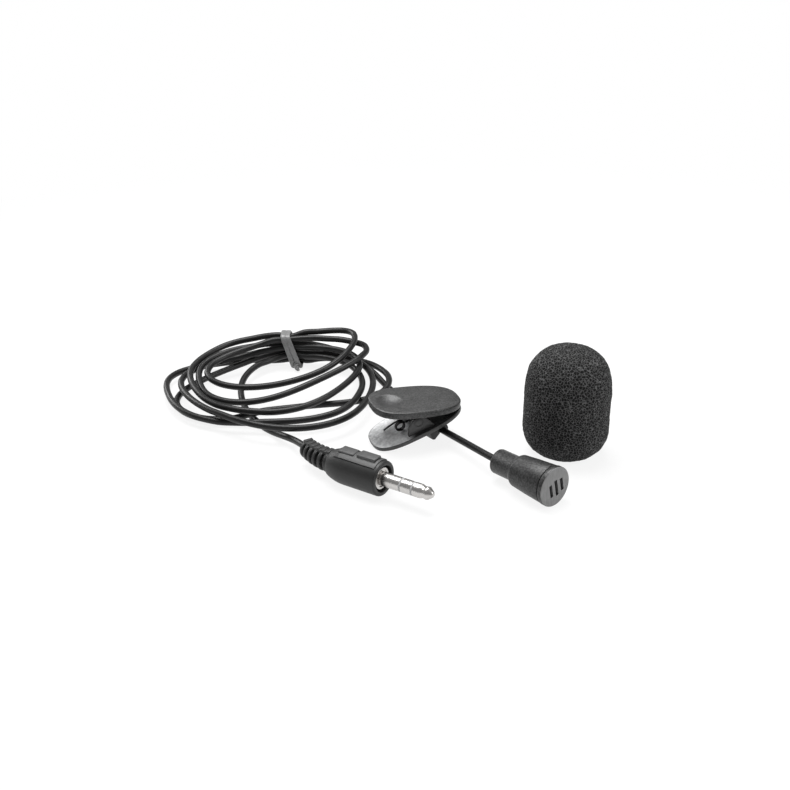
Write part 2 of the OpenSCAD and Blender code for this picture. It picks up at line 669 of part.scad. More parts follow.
// Bent ribbed relief, moulded round the cord. A flat spine runs along its top.
module strain_relief() {
    ribs = 6;
    rib_h = 0.55;
    step = (relief_len - rib_t) / (ribs - 1);
    spine_w = 2.4;
    color(black) at_plug() union() {
        for (i = [0:ribs - 1]) {
            s = i * step;
            on_relief(s) translate([0, 0, -rib_t]) union() {
                cylinder(r = relief_r(s), h = rib_t);
                translate([-relief_r(s) - 0.35, -spine_w / 2, 0]) cube([1.5, spine_w, rib_t]);
            }
        }
        for (i = [0:ribs - 2]) {
            s = (i + 0.5) * step + rib_t / 2;
            on_relief(s) union() {
                translate([0, 0, -step * 0.4]) cylinder(r = relief_r(s) - rib_h, h = step * 0.8);
                translate([-relief_r(s) - 0.15, -spine_w / 2, -step * 0.4])
                    cube([1.5, spine_w, step * 0.8]);
            }
        }
    }
}

function relief_r(s) = 2.85 - 0.5 * s / relief_len;

module plug_sleeve() {
    color(nickel) at_plug() difference() {
        union() {
            translate([0, 0, core_back + 2]) cylinder(r = 2.1, h = collar_z - core_back - 2);
            translate([0, 0, collar_z]) cylinder(r = 2.75, h = 0.9);
            translate([0, 0, collar_z]) cylinder(r = shaft_r, h = rear_insulator_z - collar_z);
        }
        ring(2.4, shaft_r, collar_z + 0.6, collar_z + 2);
        cylinder(r = 1.1, h = 60);
    }
}

module plug_ring() {
    color(nickel) at_plug()
        ring(shaft_r, 0.75, rear_insulator_z + insulator_w, front_insulator_z);
}

module plug_insulators() {
    color(black) at_plug() union() {
        ring(shaft_r, 0.5, front_insulator_z, front_insulator_z + insulator_w);
        ring(0.75, 0.5, core_back + 1, front_insulator_z + overlap);
        ring(shaft_r, 0.75 - overlap, rear_insulator_z, rear_insulator_z + insulator_w);
        ring(1.1, 0.75 - overlap, core_back + 2, rear_insulator_z + overlap);
    }
}

module plug_tip() {
    z = front_insulator_z + insulator_w;
    color(nickel) at_plug() union() {
        rotate_extrude() polygon([
            [0, z], [shaft_r, z], [shaft_r, tip_z - 3.4], [shaft_r - 0.1, tip_z - 3.2],
            [1.15, tip_z - 2.5], [1.15, tip_z - 2.3], [1.6, tip_z - 1.7], [1.55, tip_z - 1.3],
            [0.75, tip_z - 0.15], [0.5, tip_z], [0, tip_z]
        ]);
        translate([0, 0, core_back]) cylinder(r = 0.5, h = z - core_back + overlap);
    }
}

module plug_terminals() {
    color("peru") at_plug() union() {
        ring(0.95, 0.5, core_back - 0.6, core_back + 0.6);
        translate([-0.2, -0.75, 4]) cube([0.4, 1.5, core_back - 4.6]);
    }
}

// ---- foam windscreen ----
foam_bottom_r = 6;
foam_bottom_h = 7;
foam_top_h = 12;

module foam_windscreen() {
    r = foam_d / 2;
    flat_r = r - foam_bottom_r;
    lower = [for (a = [-90:15:0])
        [flat_r + foam_bottom_r * cos(a), foam_bottom_h * (1 + sin(a))]];
    upper = [for (a = [0:9:81])
        [r * pow(cos(a), 0.72), foam_h - foam_top_h * (1 - pow(sin(a), 1.05))]];
    color(foam_black) translate(foam_pos) difference() {
        rotate_extrude() polygon(concat([[0, 0]], lower, upper, [[0, foam_h]]));
        translate([0, 0, -1]) cylinder(d = foam_bore_d, h = foam_bore_depth + 1);
    }
}

capsule_housing();
front_cap();
dust_mesh();
electret_capsule();
capsule_boot();
signal_wires();
cord_ferrule();
cord_grommet();
lower_jaw();
hinge_pin();
torsion_spring();
upper_jaw();
lead_end();
mic_lead();
clip_lead();
cord_coil();
plug_lead();
cable_tie();
plug_grip();
strain_relief();
plug_sleeve();
plug_ring();
plug_insulators();
plug_tip();
plug_terminals();
foam_windscreen();
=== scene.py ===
import math

import bmesh
import bpy
import numpy as np
from mathutils import Matrix, Vector, noise


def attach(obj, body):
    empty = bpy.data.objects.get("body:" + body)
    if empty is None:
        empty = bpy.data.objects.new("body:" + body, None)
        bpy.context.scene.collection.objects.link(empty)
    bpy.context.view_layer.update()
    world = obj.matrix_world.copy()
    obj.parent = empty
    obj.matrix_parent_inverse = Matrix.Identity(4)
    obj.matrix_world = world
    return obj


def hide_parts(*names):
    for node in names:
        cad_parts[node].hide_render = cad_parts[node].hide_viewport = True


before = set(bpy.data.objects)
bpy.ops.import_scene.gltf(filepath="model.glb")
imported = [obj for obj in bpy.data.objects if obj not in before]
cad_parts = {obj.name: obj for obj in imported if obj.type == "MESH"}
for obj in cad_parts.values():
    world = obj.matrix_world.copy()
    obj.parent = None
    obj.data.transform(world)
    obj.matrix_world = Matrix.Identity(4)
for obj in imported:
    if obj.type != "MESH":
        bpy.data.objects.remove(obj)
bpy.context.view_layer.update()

# ---- The camera and the table -----------------------------------------------------------------
# The set lies on a plain white table top. The camera looks down on it from the front, over the
# plug and the microphone head, as someone does who is about to pick the set up.
MM = 0.001
scene = bpy.context.scene
scene.view_settings.view_transform = "Standard"

eye = bpy.data.cameras.new("camera")
eye.lens = 51.95
eye.sensor_width = 36.0
eye.clip_start = 0.01
eye.clip_end = 10.0
camera = bpy.data.objects.new("camera", eye)
camera.location = Vector((-23.6, -248.89, 141.0)) * MM
camera.rotation_euler = (math.radians(90 - 26.0), 0, 0)
scene.collection.objects.link(camera)
scene.camera = camera


class Shade:
    """One output of a shader node. Arithmetic on it adds Math nodes."""

    def __init__(self, finish, socket):
        self.finish = finish
        self.socket = socket

    def maths(self, operation, first, second):
        return self.finish.node("ShaderNodeMath", {"operation": operation}, {0: first, 1: second})

    def __add__(self, other):
        return self.maths("ADD", self, other)

    def __radd__(self, other):
        return self.maths("ADD", other, self)

    def __rsub__(self, other):
        return self.maths("SUBTRACT", other, self)

    def __mul__(self, other):
        return self.maths("MULTIPLY", self, other)

    def __rmul__(self, other):
        return self.maths("MULTIPLY", other, self)


class Finish:
    """A procedural material: one Principled shader and the nodes that vary it."""

    def __init__(self, name, constants):
        self.material = bpy.data.materials.new(name)
        self.material.use_nodes = True
        self.tree = self.material.node_tree
        self.shader = self.tree.nodes["Principled BSDF"]
        for socket, value in constants.items():
            self.shader.inputs[socket].default_value = value

    def node(self, kind, settings, inputs, output=0):
        made = self.tree.nodes.new(kind)
        for name, value in settings.items():
            setattr(made, name, value)
        for name, value in inputs.items():
            self.put(made.inputs[name], value)
        return Shade(self, made.outputs[output])

    def put(self, socket, value):
        if isinstance(value, Shade):
            self.tree.links.new(value.socket, socket)
        else:
            socket.default_value = value

    def place(self):
        """Object coordinates, in metres."""
        return self.node("ShaderNodeTexCoord", {}, {}, "Object")

    def grain(self, size, detail=2.0, roughness=0.5):
        """Noise from 0 to 1 whose lumps are about size millimetres across."""
        return self.node("ShaderNodeTexNoise", {}, {
            "Vector": self.place(), "Scale": 1 / (size * MM),
            "Detail": detail, "Roughness": roughness})

    def step(self, value, low, high):
        """0 below low and 1 above high, smooth between."""
        return self.node("ShaderNodeMapRange", {"interpolation_type": "SMOOTHSTEP"}, {
            "Value": value, "From Min": low, "From Max": high})

    def mix(self, share, first, second):
        return self.node("ShaderNodeMix", {"data_type": "RGBA"},
                         {0: share, 6: first, 7: second}, 2)

    def bump(self, height, depth, strength=1.0):
        """A normal from a height between 0 and 1 that stands for depth millimetres."""
        return self.node("ShaderNodeBump", {}, {
            "Height": height, "Distance": depth * MM, "Strength": strength})

    def feed(self, **sockets):
        for name, value in sockets.items():
            self.put(self.shader.inputs[name.replace("_", " ")], value)


def grey(value, tint=0.0):
    """A grey, a little warmer where tint is above 0 and bluer where it is below."""
    return (value * (1 + tint), value, value * (1 - tint), 1.0)


SHADOW_SHARE = 0.14  # how much of the table's own shading shows beside the set
SHADOW_ENDS = (0.13, 0.3)  # metres from the set over which it fades out
table_top = Finish("table_top", {"Base Color": grey(0.9), "Roughness": 0.9})
rays = table_top.tree.nodes.new("ShaderNodeLightPath")
seen = (Shade(table_top, rays.outputs["Is Camera Ray"])
        + Shade(table_top, rays.outputs["Is Glossy Ray"])
        + Shade(table_top, rays.outputs["Is Transmission Ray"]))
white = table_top.node("ShaderNodeEmission", {}, {"Color": grey(1.0), "Strength": 1.0})
lit = Shade(table_top, table_top.shader.outputs[0])
far = table_top.node("ShaderNodeVectorMath", {"operation": "LENGTH"}, {0: table_top.place()}, 1)
away = table_top.step(far, *SHADOW_ENDS)
shown = table_top.node("ShaderNodeMixShader", {}, {
    0: seen * (1 - SHADOW_SHARE + SHADOW_SHARE * away), 1: lit, 2: white})
table_top.put(table_top.tree.nodes["Material Output"].inputs["Surface"], shown)

top = bmesh.new()
bmesh.ops.create_grid(top, x_segments=1, y_segments=1, size=2.0)
top_mesh = bpy.data.meshes.new("table")
top.to_mesh(top_mesh)
top.free()
top_mesh.materials.append(table_top.material)
table = bpy.data.objects.new("table", top_mesh)
scene.collection.objects.link(table)

# ---- The cord ---------------------------------------------------------------------------------
# A limp two-core microphone cord, 1.8 mm across, with a satin black PVC jacket. One unbroken
# length runs from the neck of the head, through the clip's hook and six turns of a tied coil, to
# the plug. The jacket is extruded, and its skin is drawn with fine lumps and pits.
CORD_D = 1.8
CORD_R = CORD_D / 2
HOOK = Vector((-12.25, 14.6, 2.95))


def placed(at, roll, tip, turn):
    """Millimetre frame at a point, rolled about X, tipped about Y, then turned about Z."""
    return (Matrix.Translation(at) @ Matrix.Rotation(math.radians(turn), 4, "Z")
            @ Matrix.Rotation(math.radians(tip), 4, "Y")
            @ Matrix.Rotation(math.radians(roll), 4, "X"))


HEAD_PITCH = 2.2
HEAD_REAR = Vector((1.6, -5.4, 5 * math.cos(math.radians(HEAD_PITCH))
                    - 16.9 * math.sin(math.radians(HEAD_PITCH))))
HEAD = placed(HEAD_REAR, 0, 90 - HEAD_PITCH, -48.5)
PLUG = placed(Vector((-38.9, -5.95, 4.3)), 0, 90 - 1.4, -34.8)
RELIEF_LEN = 10.6
RELIEF_RADIUS = RELIEF_LEN / math.radians(30)


def relief_frame(back):
    """Frame on the relief's bent axis, back millimetres behind the grip, Z forward."""
    a = back / RELIEF_RADIUS
    at = Vector((0, RELIEF_RADIUS * (1 - math.cos(a)), -RELIEF_RADIUS * math.sin(a)))
    return PLUG @ Matrix.Translation(at) @ Matrix.Rotation(a, 4, "X")


HEAD_DIR = (HEAD.to_3x3() @ Vector((0, 0, 1))).normalized()
BEND = HEAD_REAR - 1.4 * HEAD_DIR
HOOK_DIR = (BEND - HOOK).normalized()
NECK_POINTS = [HEAD_REAR + 1.5 * HEAD_DIR, HEAD_REAR - 0.4 * HEAD_DIR]
HOOK_POINTS = [HOOK + step * HOOK_DIR for step in (19.5, 16.5, 13, 9.5, 6, 3, 0, -3)]
RELIEF_POINTS = [relief_frame(back).to_translation() for back in (7.5, 9.5, 11.5)]
PLUG_ROUTE = [
    (-46.67, 3.83, 3.6), (-48.6, 7.05, 2.98), (-50.76, 10.1, 2.32), (-53.22, 12.94, 1.73),
    (-55.74, 15.75, 1.2), (-58.1, 18.7, 0.9), (-60.28, 21.82, 0.9), (-62.23, 25.08, 0.9),
    (-63.89, 28.5, 0.92), (-65.23, 32.04, 1.25), (-66.24, 35.7, 1.54), (-66.87, 39.43, 1.88),
    (-66.99, 43.21, 2.24), (-66.46, 46.95, 2.63), (-65.2, 50.52, 2.99), (-63.21, 53.74, 3.31),
    (-60.52, 56.41, 3.25), (-57.35, 58.35, 3.76)]
COIL_ROUTE = [
    (-54.1, 58.89, 4.15), (-50.16, 58.4, 3.87), (-46.3, 57.45, 4.19), (-42.57, 56.01, 4.26),
    (-39.17, 53.93, 4.22), (-36.37, 51.09, 4.1), (-34.41, 47.62, 3.95), (-33.25, 43.81, 3.91),
    (-32.76, 39.84, 4.1), (-32.83, 35.85, 4.3), (-33.42, 31.91, 4.56), (-34.6, 28.1, 4.31),
    (-36.46, 24.58, 4.12), (-39.12, 21.61, 3.96), (-42.47, 19.46, 3.83), (-46.24, 18.14, 3.66),
    (-50.17, 17.44, 3.52), (-54.16, 17.17, 3.43), (-58.15, 17.21, 3.29), (-62.13, 17.48, 2.99),
    (-66.09, 18, 2.77), (-70, 18.81, 2.56), (-73.79, 20.05, 2.67), (-77.32, 21.91, 2.71),
    (-80.35, 24.51, 2.74), (-82.82, 27.65, 2.77), (-84.76, 31.14, 2.75), (-86.25, 34.85, 2.66),
    (-87.44, 38.66, 2.56), (-88.17, 42.59, 2.44), (-87.99, 46.57, 2.31), (-86.48, 50.24, 2.17),
    (-83.81, 53.2, 2.04), (-80.5, 55.43, 1.91), (-76.9, 57.16, 1.81), (-73.16, 58.56, 1.73),
    (-69.33, 59.69, 1.68), (-65.43, 60.57, 1.65), (-61.5, 61.15, 1.24), (-57.6, 61.34, 1.33),
    (-53.68, 61.3, 1.78), (-49.75, 61.37, 1.2), (-45.81, 61.3, 1.83), (-41.83, 60.96, 2.03),
    (-37.93, 60.11, 2.16), (-34.29, 58.5, 2.32), (-31.16, 56.03, 2.56), (-28.64, 52.95, 2.77),
    (-26.7, 49.46, 2.97), (-25.47, 45.67, 3.18), (-25.33, 41.69, 3.23), (-26.42, 37.89, 2.82),
    (-28.89, 34.8, 2.5), (-32.22, 32.62, 2.23), (-35.9, 31.07, 2.29), (-39.72, 29.89, 2.44),
    (-43.58, 28.86, 2.61), (-47.43, 27.79, 2.75), (-51.23, 26.56, 2.87), (-54.97, 25.16, 3.11),
    (-58.68, 23.71, 3.3), (-62.43, 22.41, 3), (-66.26, 21.56, 2.25), (-70.23, 21.49, 1.9),
    (-74.07, 22.48, 1.56), (-77.52, 24.46, 1.26), (-80.45, 27.15, 1), (-82.75, 30.42, 0.9),
    (-84.08, 34.17, 0.9), (-83.95, 38.14, 0.98), (-82.5, 41.85, 1.17), (-80.25, 45.14, 1.4),
    (-77.55, 48.07, 1.69), (-74.59, 50.74, 2.01), (-71.49, 53.24, 2.35), (-68.29, 55.61, 2.72),
    (-64.97, 57.78, 3.2), (-61.5, 59.71, 3.64), (-57.71, 60.96, 3.95), (-53.77, 61.3, 4.17),
    (-49.82, 60.82, 4.06), (-45.95, 59.87, 4.42), (-42.21, 58.48, 4.55), (-38.72, 56.53, 4.64),
    (-35.58, 54.07, 4.63), (-33.11, 50.94, 4.65), (-31.37, 47.34, 4.67), (-30.28, 43.5, 4.69),
    (-29.78, 39.54, 4.72), (-29.82, 35.54, 4.77), (-30.33, 31.58, 4.69), (-31.23, 27.69, 4.57),
    (-32.54, 23.91, 4.47), (-34.36, 20.36, 4.4), (-36.84, 17.24, 4.36), (-39.93, 14.71, 4.35),
    (-43.48, 12.88, 4.36), (-47.32, 11.78, 4.41), (-51.3, 11.46, 4.49), (-55.27, 11.86, 4.58),
    (-59.12, 12.91, 4.67), (-62.8, 14.47, 4.77), (-66.3, 16.4, 4.85), (-69.62, 18.63, 4.95),
    (-72.67, 21.2, 4.77), (-75.43, 24.09, 4.62), (-77.89, 27.23, 4.47), (-80.06, 30.59, 4.34),
    (-81.87, 34.15, 4.23), (-83.18, 37.92, 4.14), (-83.62, 41.88, 4.06), (-82.77, 45.77, 4.03),
    (-80.55, 49.06, 4.03), (-77.43, 51.53, 4.29), (-73.88, 53.36, 4.51), (-70.16, 54.76, 4.89),
    (-66.41, 56.07, 5.34), (-62.62, 57.24, 5.85), (-58.76, 58.21, 6.23), (-54.87, 58.89, 6.55),
    (-50.87, 58.79, 6.62), (-46.91, 58.32, 6.83), (-43.04, 57.34, 6.86), (-39.38, 55.73, 6.88),
    (-36.26, 53.27, 6.78), (-34.2, 49.88, 6.54), (-33.67, 45.96, 6.24), (-34.44, 42.05, 6.05),
    (-35.95, 38.37, 5.72), (-37.89, 34.89, 5.41), (-40.09, 31.56, 5.15), (-42.57, 28.43, 4.91),
    (-45.41, 25.63, 4.73), (-48.65, 23.29, 4.59), (-52.26, 21.6, 4.5), (-56.14, 20.65, 4.51),
    (-60.12, 20.48, 4.71), (-64.07, 21.06, 4.81), (-67.86, 22.31, 4.84), (-71.33, 24.29, 4.78),
    (-74.28, 26.96, 4.88), (-76.67, 30.16, 5.07), (-78.62, 33.65, 5.29), (-80.14, 37.33, 5.51),
    (-81.09, 41.21, 5.76), (-81.19, 45.18, 6.03), (-80.12, 49, 6.4), (-78.29, 52.54, 6.69),
    (-75.96, 55.77, 7.01), (-73.12, 58.55, 7.37), (-69.65, 60.48, 7.74), (-65.81, 61.44, 8.19),
    (-61.89, 61.67, 8.88), (-57.98, 61.45, 9.32), (-54.02, 61.31, 8.98), (-50.27, 61.78, 10.06),
    (-46.32, 62.3, 10.08), (-42.34, 62.41, 10.35), (-38.5, 61.48, 10.71), (-35.8, 58.66, 11.01),
    (-35.3, 54.77, 10.61), (-36.29, 50.95, 10.01), (-37.98, 47.4, 9.3), (-40.17, 44.15, 8.53),
    (-42.94, 41.39, 7.73), (-46.19, 39.18, 7.01), (-49.73, 37.43, 6.41), (-53.45, 36.03, 5.92),
    (-57.29, 35.01, 5.55), (-61.24, 34.42, 5.3), (-65.23, 34.43, 5.18), (-69.14, 35.19, 5.17),
    (-72.72, 36.94, 5.29), (-75.45, 39.81, 5.56), (-76.54, 43.58, 5.98), (-75.53, 47.37, 6.46),
    (-73.03, 50.44, 6.92), (-69.91, 52.9, 7.37), (-66.53, 54.99, 7.79), (-62.99, 56.77, 8.32),
    (-59.3, 58.07, 9.1), (-55.43, 58.88, 8.94), (-51.46, 59.06, 9.23), (-47.49, 59.27, 9.31),
    (-43.51, 59.49, 9), (-39.54, 59.09, 8.9), (-35.75, 57.89, 8.65), (-32.69, 55.39, 8.74),
    (-31.8, 51.58, 8.73), (-33.09, 47.82, 8.68), (-35.42, 44.62, 8.24), (-38.24, 41.86, 7.65),
    (-41.31, 39.38, 7.01), (-44.5, 37.04, 6.39), (-47.73, 34.78, 5.76), (-51.03, 32.58, 5.2),
    (-54.44, 30.56, 4.72), (-58.06, 28.91, 4.34), (-61.9, 27.84, 4.08), (-65.88, 27.6, 3.94),
    (-69.78, 28.42, 3.92), (-73.24, 30.37, 4.04), (-75.89, 33.33, 4.29), (-77.58, 36.93, 4.67),
    (-78.63, 40.75, 5.19), (-78.86, 44.68, 5.8), (-77.74, 48.47, 6.33), (-75.43, 51.68, 6.72),
    (-72.47, 54.35, 7), (-69.14, 56.56, 7.05), (-65.57, 58.36, 7), (-61.91, 59.97, 7.06),
    (-58.06, 60.97, 6.79), (-54.1, 61.32, 6.57)]
CLIP_ROUTE = [
    (-50.74, 61.89, 6.54), (-46.95, 62.09, 5.89), (-43.21, 61.39, 5.25), (-39.71, 59.91, 4.59),
    (-36.54, 57.8, 3.94), (-33.71, 55.26, 3.22), (-31.18, 52.43, 2.53), (-29.02, 49.29, 1.9),
    (-27.14, 45.96, 1.3), (-25.23, 42.63, 0.9), (-23.46, 39.19, 0.91), (-21.85, 35.68, 1.04),
    (-20.38, 32.11, 1.28), (-19, 28.51, 1.55), (-17.66, 24.9, 1.92), (-16.21, 21.34, 2.27)]

route = NECK_POINTS + HOOK_POINTS
route += [Vector(p) for p in reversed(PLUG_ROUTE + COIL_ROUTE + CLIP_ROUTE)]
route += reversed(RELIEF_POINTS)


def cord_line(points, pitch):
    """The same line, smoothed and with a point every pitch millimetres."""
    fine = []
    for a, b, c, d in zip([points[0]] + points, points, points[1:], points[2:] + [points[-1]]):
        for k in range(8):
            u = k / 8
            fine.append(0.5 * (2 * b + (c - a) * u + (2 * a - 5 * b + 4 * c - d) * u ** 2
                               + (3 * b - a - 3 * c + d) * u ** 3))
    fine.append(points[-1])
    gone = [0.0]
    for p, q in zip(fine, fine[1:]):
        gone.append(gone[-1] + (q - p).length)
    even = np.linspace(0, gone[-1], int(gone[-1] / pitch) + 1)
    return np.stack([np.interp(even, gone, [p[i] for p in fine]) for i in range(3)], 1)


line = cord_line(route, 0.8)
line[:, 2] = np.maximum(line[:, 2], CORD_R)


def laid(name, centres, radius, fineness):
    """A round wire or cord along its centres, in millimetres."""
    curve = bpy.data.curves.new(name, "CURVE")
    curve.dimensions = "3D"
    curve.bevel_depth = radius * MM
    curve.bevel_resolution = fineness
    curve.use_fill_caps = True
    spline = curve.splines.new("POLY")
    spline.points.add(len(centres) - 1)
    for point, (x, y, z) in zip(spline.points, centres):
        point.co = (x * MM, y * MM, z * MM, 1.0)
    spline.use_smooth = True
    made = bpy.data.objects.new(name, curve)
    scene.collection.objects.link(made)
    return made


cord = laid("cord", line, CORD_R, 4)

jacket = Finish("cord_jacket", {"Specular IOR Level": 0.3})
lumps = jacket.grain(2.2, 3.0)
pits = jacket.grain(0.18, 2.0)
jacket.feed(
    Base_Color=jacket.mix(lumps, grey(0.004), grey(0.012)),
    Roughness=0.3 + 0.16 * lumps,
    Normal=jacket.bump(0.7 * lumps + 0.3 * pits, 0.03, 0.5))
cord.data.materials.append(jacket.material)
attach(cord, "head")
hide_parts("lead_end", "mic_lead", "clip_lead", "cord_coil", "plug_lead")

# ---- The tie ----------------------------------------------------------------------------------
# A plastic-coated wire tie holds the six turns together at the back of the coil. It is bent
# twice round the bundle, side by side, and its two ends are twisted together low at the front.


def piece(name, bm, place, finishes, body, stands_for=(), sharp=32.0):
    """Makes a finished piece of a mesh in millimetres, and fixes it to its body."""
    bmesh.ops.remove_doubles(bm, verts=bm.verts, dist=1e-4)
    bmesh.ops.transform(bm, matrix=Matrix.Scale(MM, 4) @ place, verts=bm.verts)
    bmesh.ops.recalc_face_normals(bm, faces=bm.faces)
    mesh = bpy.data.meshes.new(name)
    bm.to_mesh(mesh)
    bm.free()
    mesh.shade_smooth()
    mesh.set_sharp_from_angle(angle=math.radians(sharp))
    for finish in finishes:
        mesh.materials.append(finish.material)
    made = bpy.data.objects.new(name, mesh)
    scene.collection.objects.link(made)
    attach(made, body)
    if stands_for:
        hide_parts(*stands_for)
    return made


def new_verts(made):
    return [g for g in made["geom"] if isinstance(g, bmesh.types.BMVert)]


def skinned(bm, rims, closed=False):
    """Draws a ring of edges out from each rim of places to the next, and caps both ends."""
    first = corners = [bm.verts.new(at) for at in rims[0]]
    ring = [bm.edges.new(pair) for pair in zip(corners, corners[1:] + corners[:1])]
    for rim in rims[1:] + rims[:closed]:
        drawn = bmesh.ops.extrude_edge_only(bm, edges=ring)
        fresh = set(new_verts(drawn))
        twin = {edge.other_vert(v): v for v in fresh for edge in v.link_edges
                if edge.other_vert(v) not in fresh}
        corners = [twin[v] for v in corners]
        for corner, at in zip(corners, rim):
            corner.co = at
        ring = [g for g in drawn["geom"]
                if isinstance(g, bmesh.types.BMEdge) and fresh.issuperset(g.verts)]
    return [] if closed else [bm.faces.new(first), bm.faces.new(corners)]


def swept(bm, path, section, up, closed=False, scale=None):
    """Carries a flat section along a path and skins it. Its first axis lies sideways."""
    rims = []
    count = len(path)
    for i, at in enumerate(path):
        after = path[(i + 1) % count] if closed or i + 1 < count else at
        before = path[i - 1] if closed or i > 0 else at
        ahead = (after - before).normalized()
        side = up.cross(ahead).normalized()
        lift = ahead.cross(side)
        size = scale(i / (count - 1)) if scale else 1.0
        rims.append([at + size * (u * side + v * lift) for u, v in section])
    skinned(bm, rims, closed)


def round_section(radius, sides):
    return [(radius * math.cos(a), radius * math.sin(a))
            for a in [2 * math.pi * k / sides for k in range(sides)]]


tie_plastic = Finish("tie_plastic", {"Specular IOR Level": 0.5})
creases = tie_plastic.grain(0.7, 3.0, 0.6)
tie_plastic.feed(
    Base_Color=tie_plastic.mix(creases, grey(0.08), grey(0.26)),
    Roughness=0.26 + 0.2 * creases,
    Normal=tie_plastic.bump(creases, 0.05, 0.6))

tie = bmesh.new()
tie_middle = Vector((-54.1, 60.1, 5.4))
BAND = [(0.0, 0.74), (0.24, 0.64), (0.34, 0.25), (0.34, -0.25), (0.24, -0.64), (0.0, -0.74),
        (-0.24, -0.64), (-0.34, -0.25), (-0.34, 0.25), (-0.24, 0.64)]
TIE_Y = 2.75
TIE_Z = 5.0
CORNER = 1.2
for offset, lean in ((-0.78, 0.30), (0.72, 0.34)):
    wrap = []
    for quarter, (y, z) in enumerate(((1, 1), (-1, 1), (-1, -1), (1, -1))):
        for k in range(7):
            a = math.radians(90 * quarter + 15 * k)
            wrap.append(Vector((0, y * (TIE_Y - CORNER) + CORNER * math.cos(a),
                                z * (TIE_Z - CORNER) + CORNER * math.sin(a))))
    for at in wrap:
        at.x = offset - lean * at.z
    swept(tie, [tie_middle + at for at in wrap], BAND, Vector((1, 0, 0)), closed=True)
for turn in (0, math.pi):
    twist = []
    for k in range(30):
        a = turn + 3 * math.pi * k / 29
        thick = 0.4 * math.sin(math.radians(50 + 80 * k / 29))
        along = Vector((1.0 + 0.035 * k, -TIE_Y + 0.3 - 0.085 * k, -TIE_Z + 1.5 - 0.035 * k))
        twist.append(tie_middle + along + Vector((thick * math.cos(a), 0, thick * math.sin(a))))
    swept(tie, twist, round_section(0.4, 10), Vector((0, 0, 1)), scale=lambda u: 1 - 0.3 * u ** 4)
piece("twist_tie", tie, Matrix.Identity(4), [tie_plastic], "head", ["cable_tie"])

# ---- The microphone head ----------------------------------------------------------------------
# The body is turned from a metal bar, with a narrow neck and a rounded shoulder, and sprayed a
# dark satin grey. The cap is a separate disc pressed into its front, with three sound slots
# milled through it over a black mesh. A rubber bush seals the cord in the neck.


def smooth(x):
    """Eases from 0 to 1 as x goes from 0 to 1."""
    c = min(max(x, 0.0), 1.0)
    return c * c * (3 - 2 * c)


def turned(bm, outline, hollow=False, steps=96):
    """Spins an outline of (radius, height) points once round Z. A hollow one closes on itself."""
    corners = [bm.verts.new((r, 0, z)) for r, z in outline]
    edges = [bm.edges.new(pair) for pair in zip(corners, corners[1:] + corners[:hollow])]
    bmesh.ops.spin(bm, geom=corners + edges, cent=(0, 0, 0), axis=(0, 0, 1),
                   angle=2 * math.pi, steps=steps, use_merge=True)
    bmesh.ops.remove_doubles(bm, verts=bm.verts, dist=1e-4)


sprayed = Finish("sprayed_metal", {"Specular IOR Level": 0.5})
orange_peel = sprayed.grain(0.45, 2.0)
cloud = sprayed.grain(5.0, 2.0)
sprayed.feed(
    Base_Color=sprayed.mix(sprayed.step(orange_peel, 0.3, 0.7) * 0.8 + cloud * 0.2,
                           grey(0.02), grey(0.075)),
    Metallic=0.6 + 0.1 * cloud,
    Roughness=0.36 + 0.14 * orange_peel,
    Normal=sprayed.bump(orange_peel, 0.03, 0.6))

NECK_R = 3.15
NECK_LEN = 5.85
SHOULDER_RISE = 0.95
SHOULDER_LEN = 1.7
FACE_R = 5.0
shoulder = [(NECK_R + SHOULDER_RISE * smooth(k / 14) ** 0.75, NECK_LEN + SHOULDER_LEN * k / 14)
            for k in range(15)]
body = bmesh.new()
turned(body, [(1.5, 0.12), (1.62, 0), (2.75, 0), (2.95, 0.06), (3.09, 0.2), (NECK_R, 0.42)]
       + shoulder
       + [(4.49, 11.4), (4.87, 16.7), (4.85, 16.8), (4.78, 16.84), (4.2, 16.84), (4.2, 15.9),
          (3.4, 15.9), (3.4, 12.0), (2.3, 12.0), (2.3, 1.6), (1.5, 1.6)], hollow=True)
piece("head_body", body, HEAD, [sprayed], "head", ["capsule_housing"], 40)


def cut_away(made, cutter):
    """Cuts a closed mesh in millimetres, placed as made is, out of a finished piece."""
    tool_mesh = bpy.data.meshes.new("cutter")
    cutter.to_mesh(tool_mesh)
    cutter.free()
    tool = bpy.data.objects.new("cutter", tool_mesh)
    scene.collection.objects.link(tool)
    knife = made.modifiers.new("cut", "BOOLEAN")
    knife.operation = "DIFFERENCE"
    knife.solver = "EXACT"
    knife.object = tool
    done = made.evaluated_get(bpy.context.evaluated_depsgraph_get())
    result = bpy.data.meshes.new_from_object(done)
    result.name = made.data.name
    made.modifiers.clear()
    made.data = result
    bpy.data.objects.remove(tool)
    made.data.shade_smooth()
    made.data.set_sharp_from_angle(angle=math.radians(32))


def block(bm, low, high):
    """Adds a box between two corners and returns its vertices."""
    low, high = Vector(low), Vector(high)
    made = bmesh.ops.create_cube(bm, size=1.0)["verts"]
    bmesh.ops.scale(bm, vec=high - low, verts=made)
    bmesh.ops.translate(bm, vec=(low + high) / 2, verts=made)
    return made


faced = Finish("faced_metal", {"Specular IOR Level": 0.5})
across = faced.node("ShaderNodeMapping", {"vector_type": "POINT"}, {
    "Vector": faced.place(), "Rotation": (0, 0, math.radians(48.5))})
streaks = faced.node("ShaderNodeTexNoise", {}, {
    "Vector": faced.node("ShaderNodeMapping", {}, {"Vector": across, "Scale": (1, 1, 0.16)}),
    "Scale": 3200, "Detail": 3.0})
faced.feed(
    Base_Color=faced.mix(streaks, grey(0.1), grey(0.27)),
    Metallic=0.45 + 0.2 * streaks,
    Roughness=0.36 + 0.14 * streaks,
    Normal=faced.bump(streaks, 0.01, 0.6))

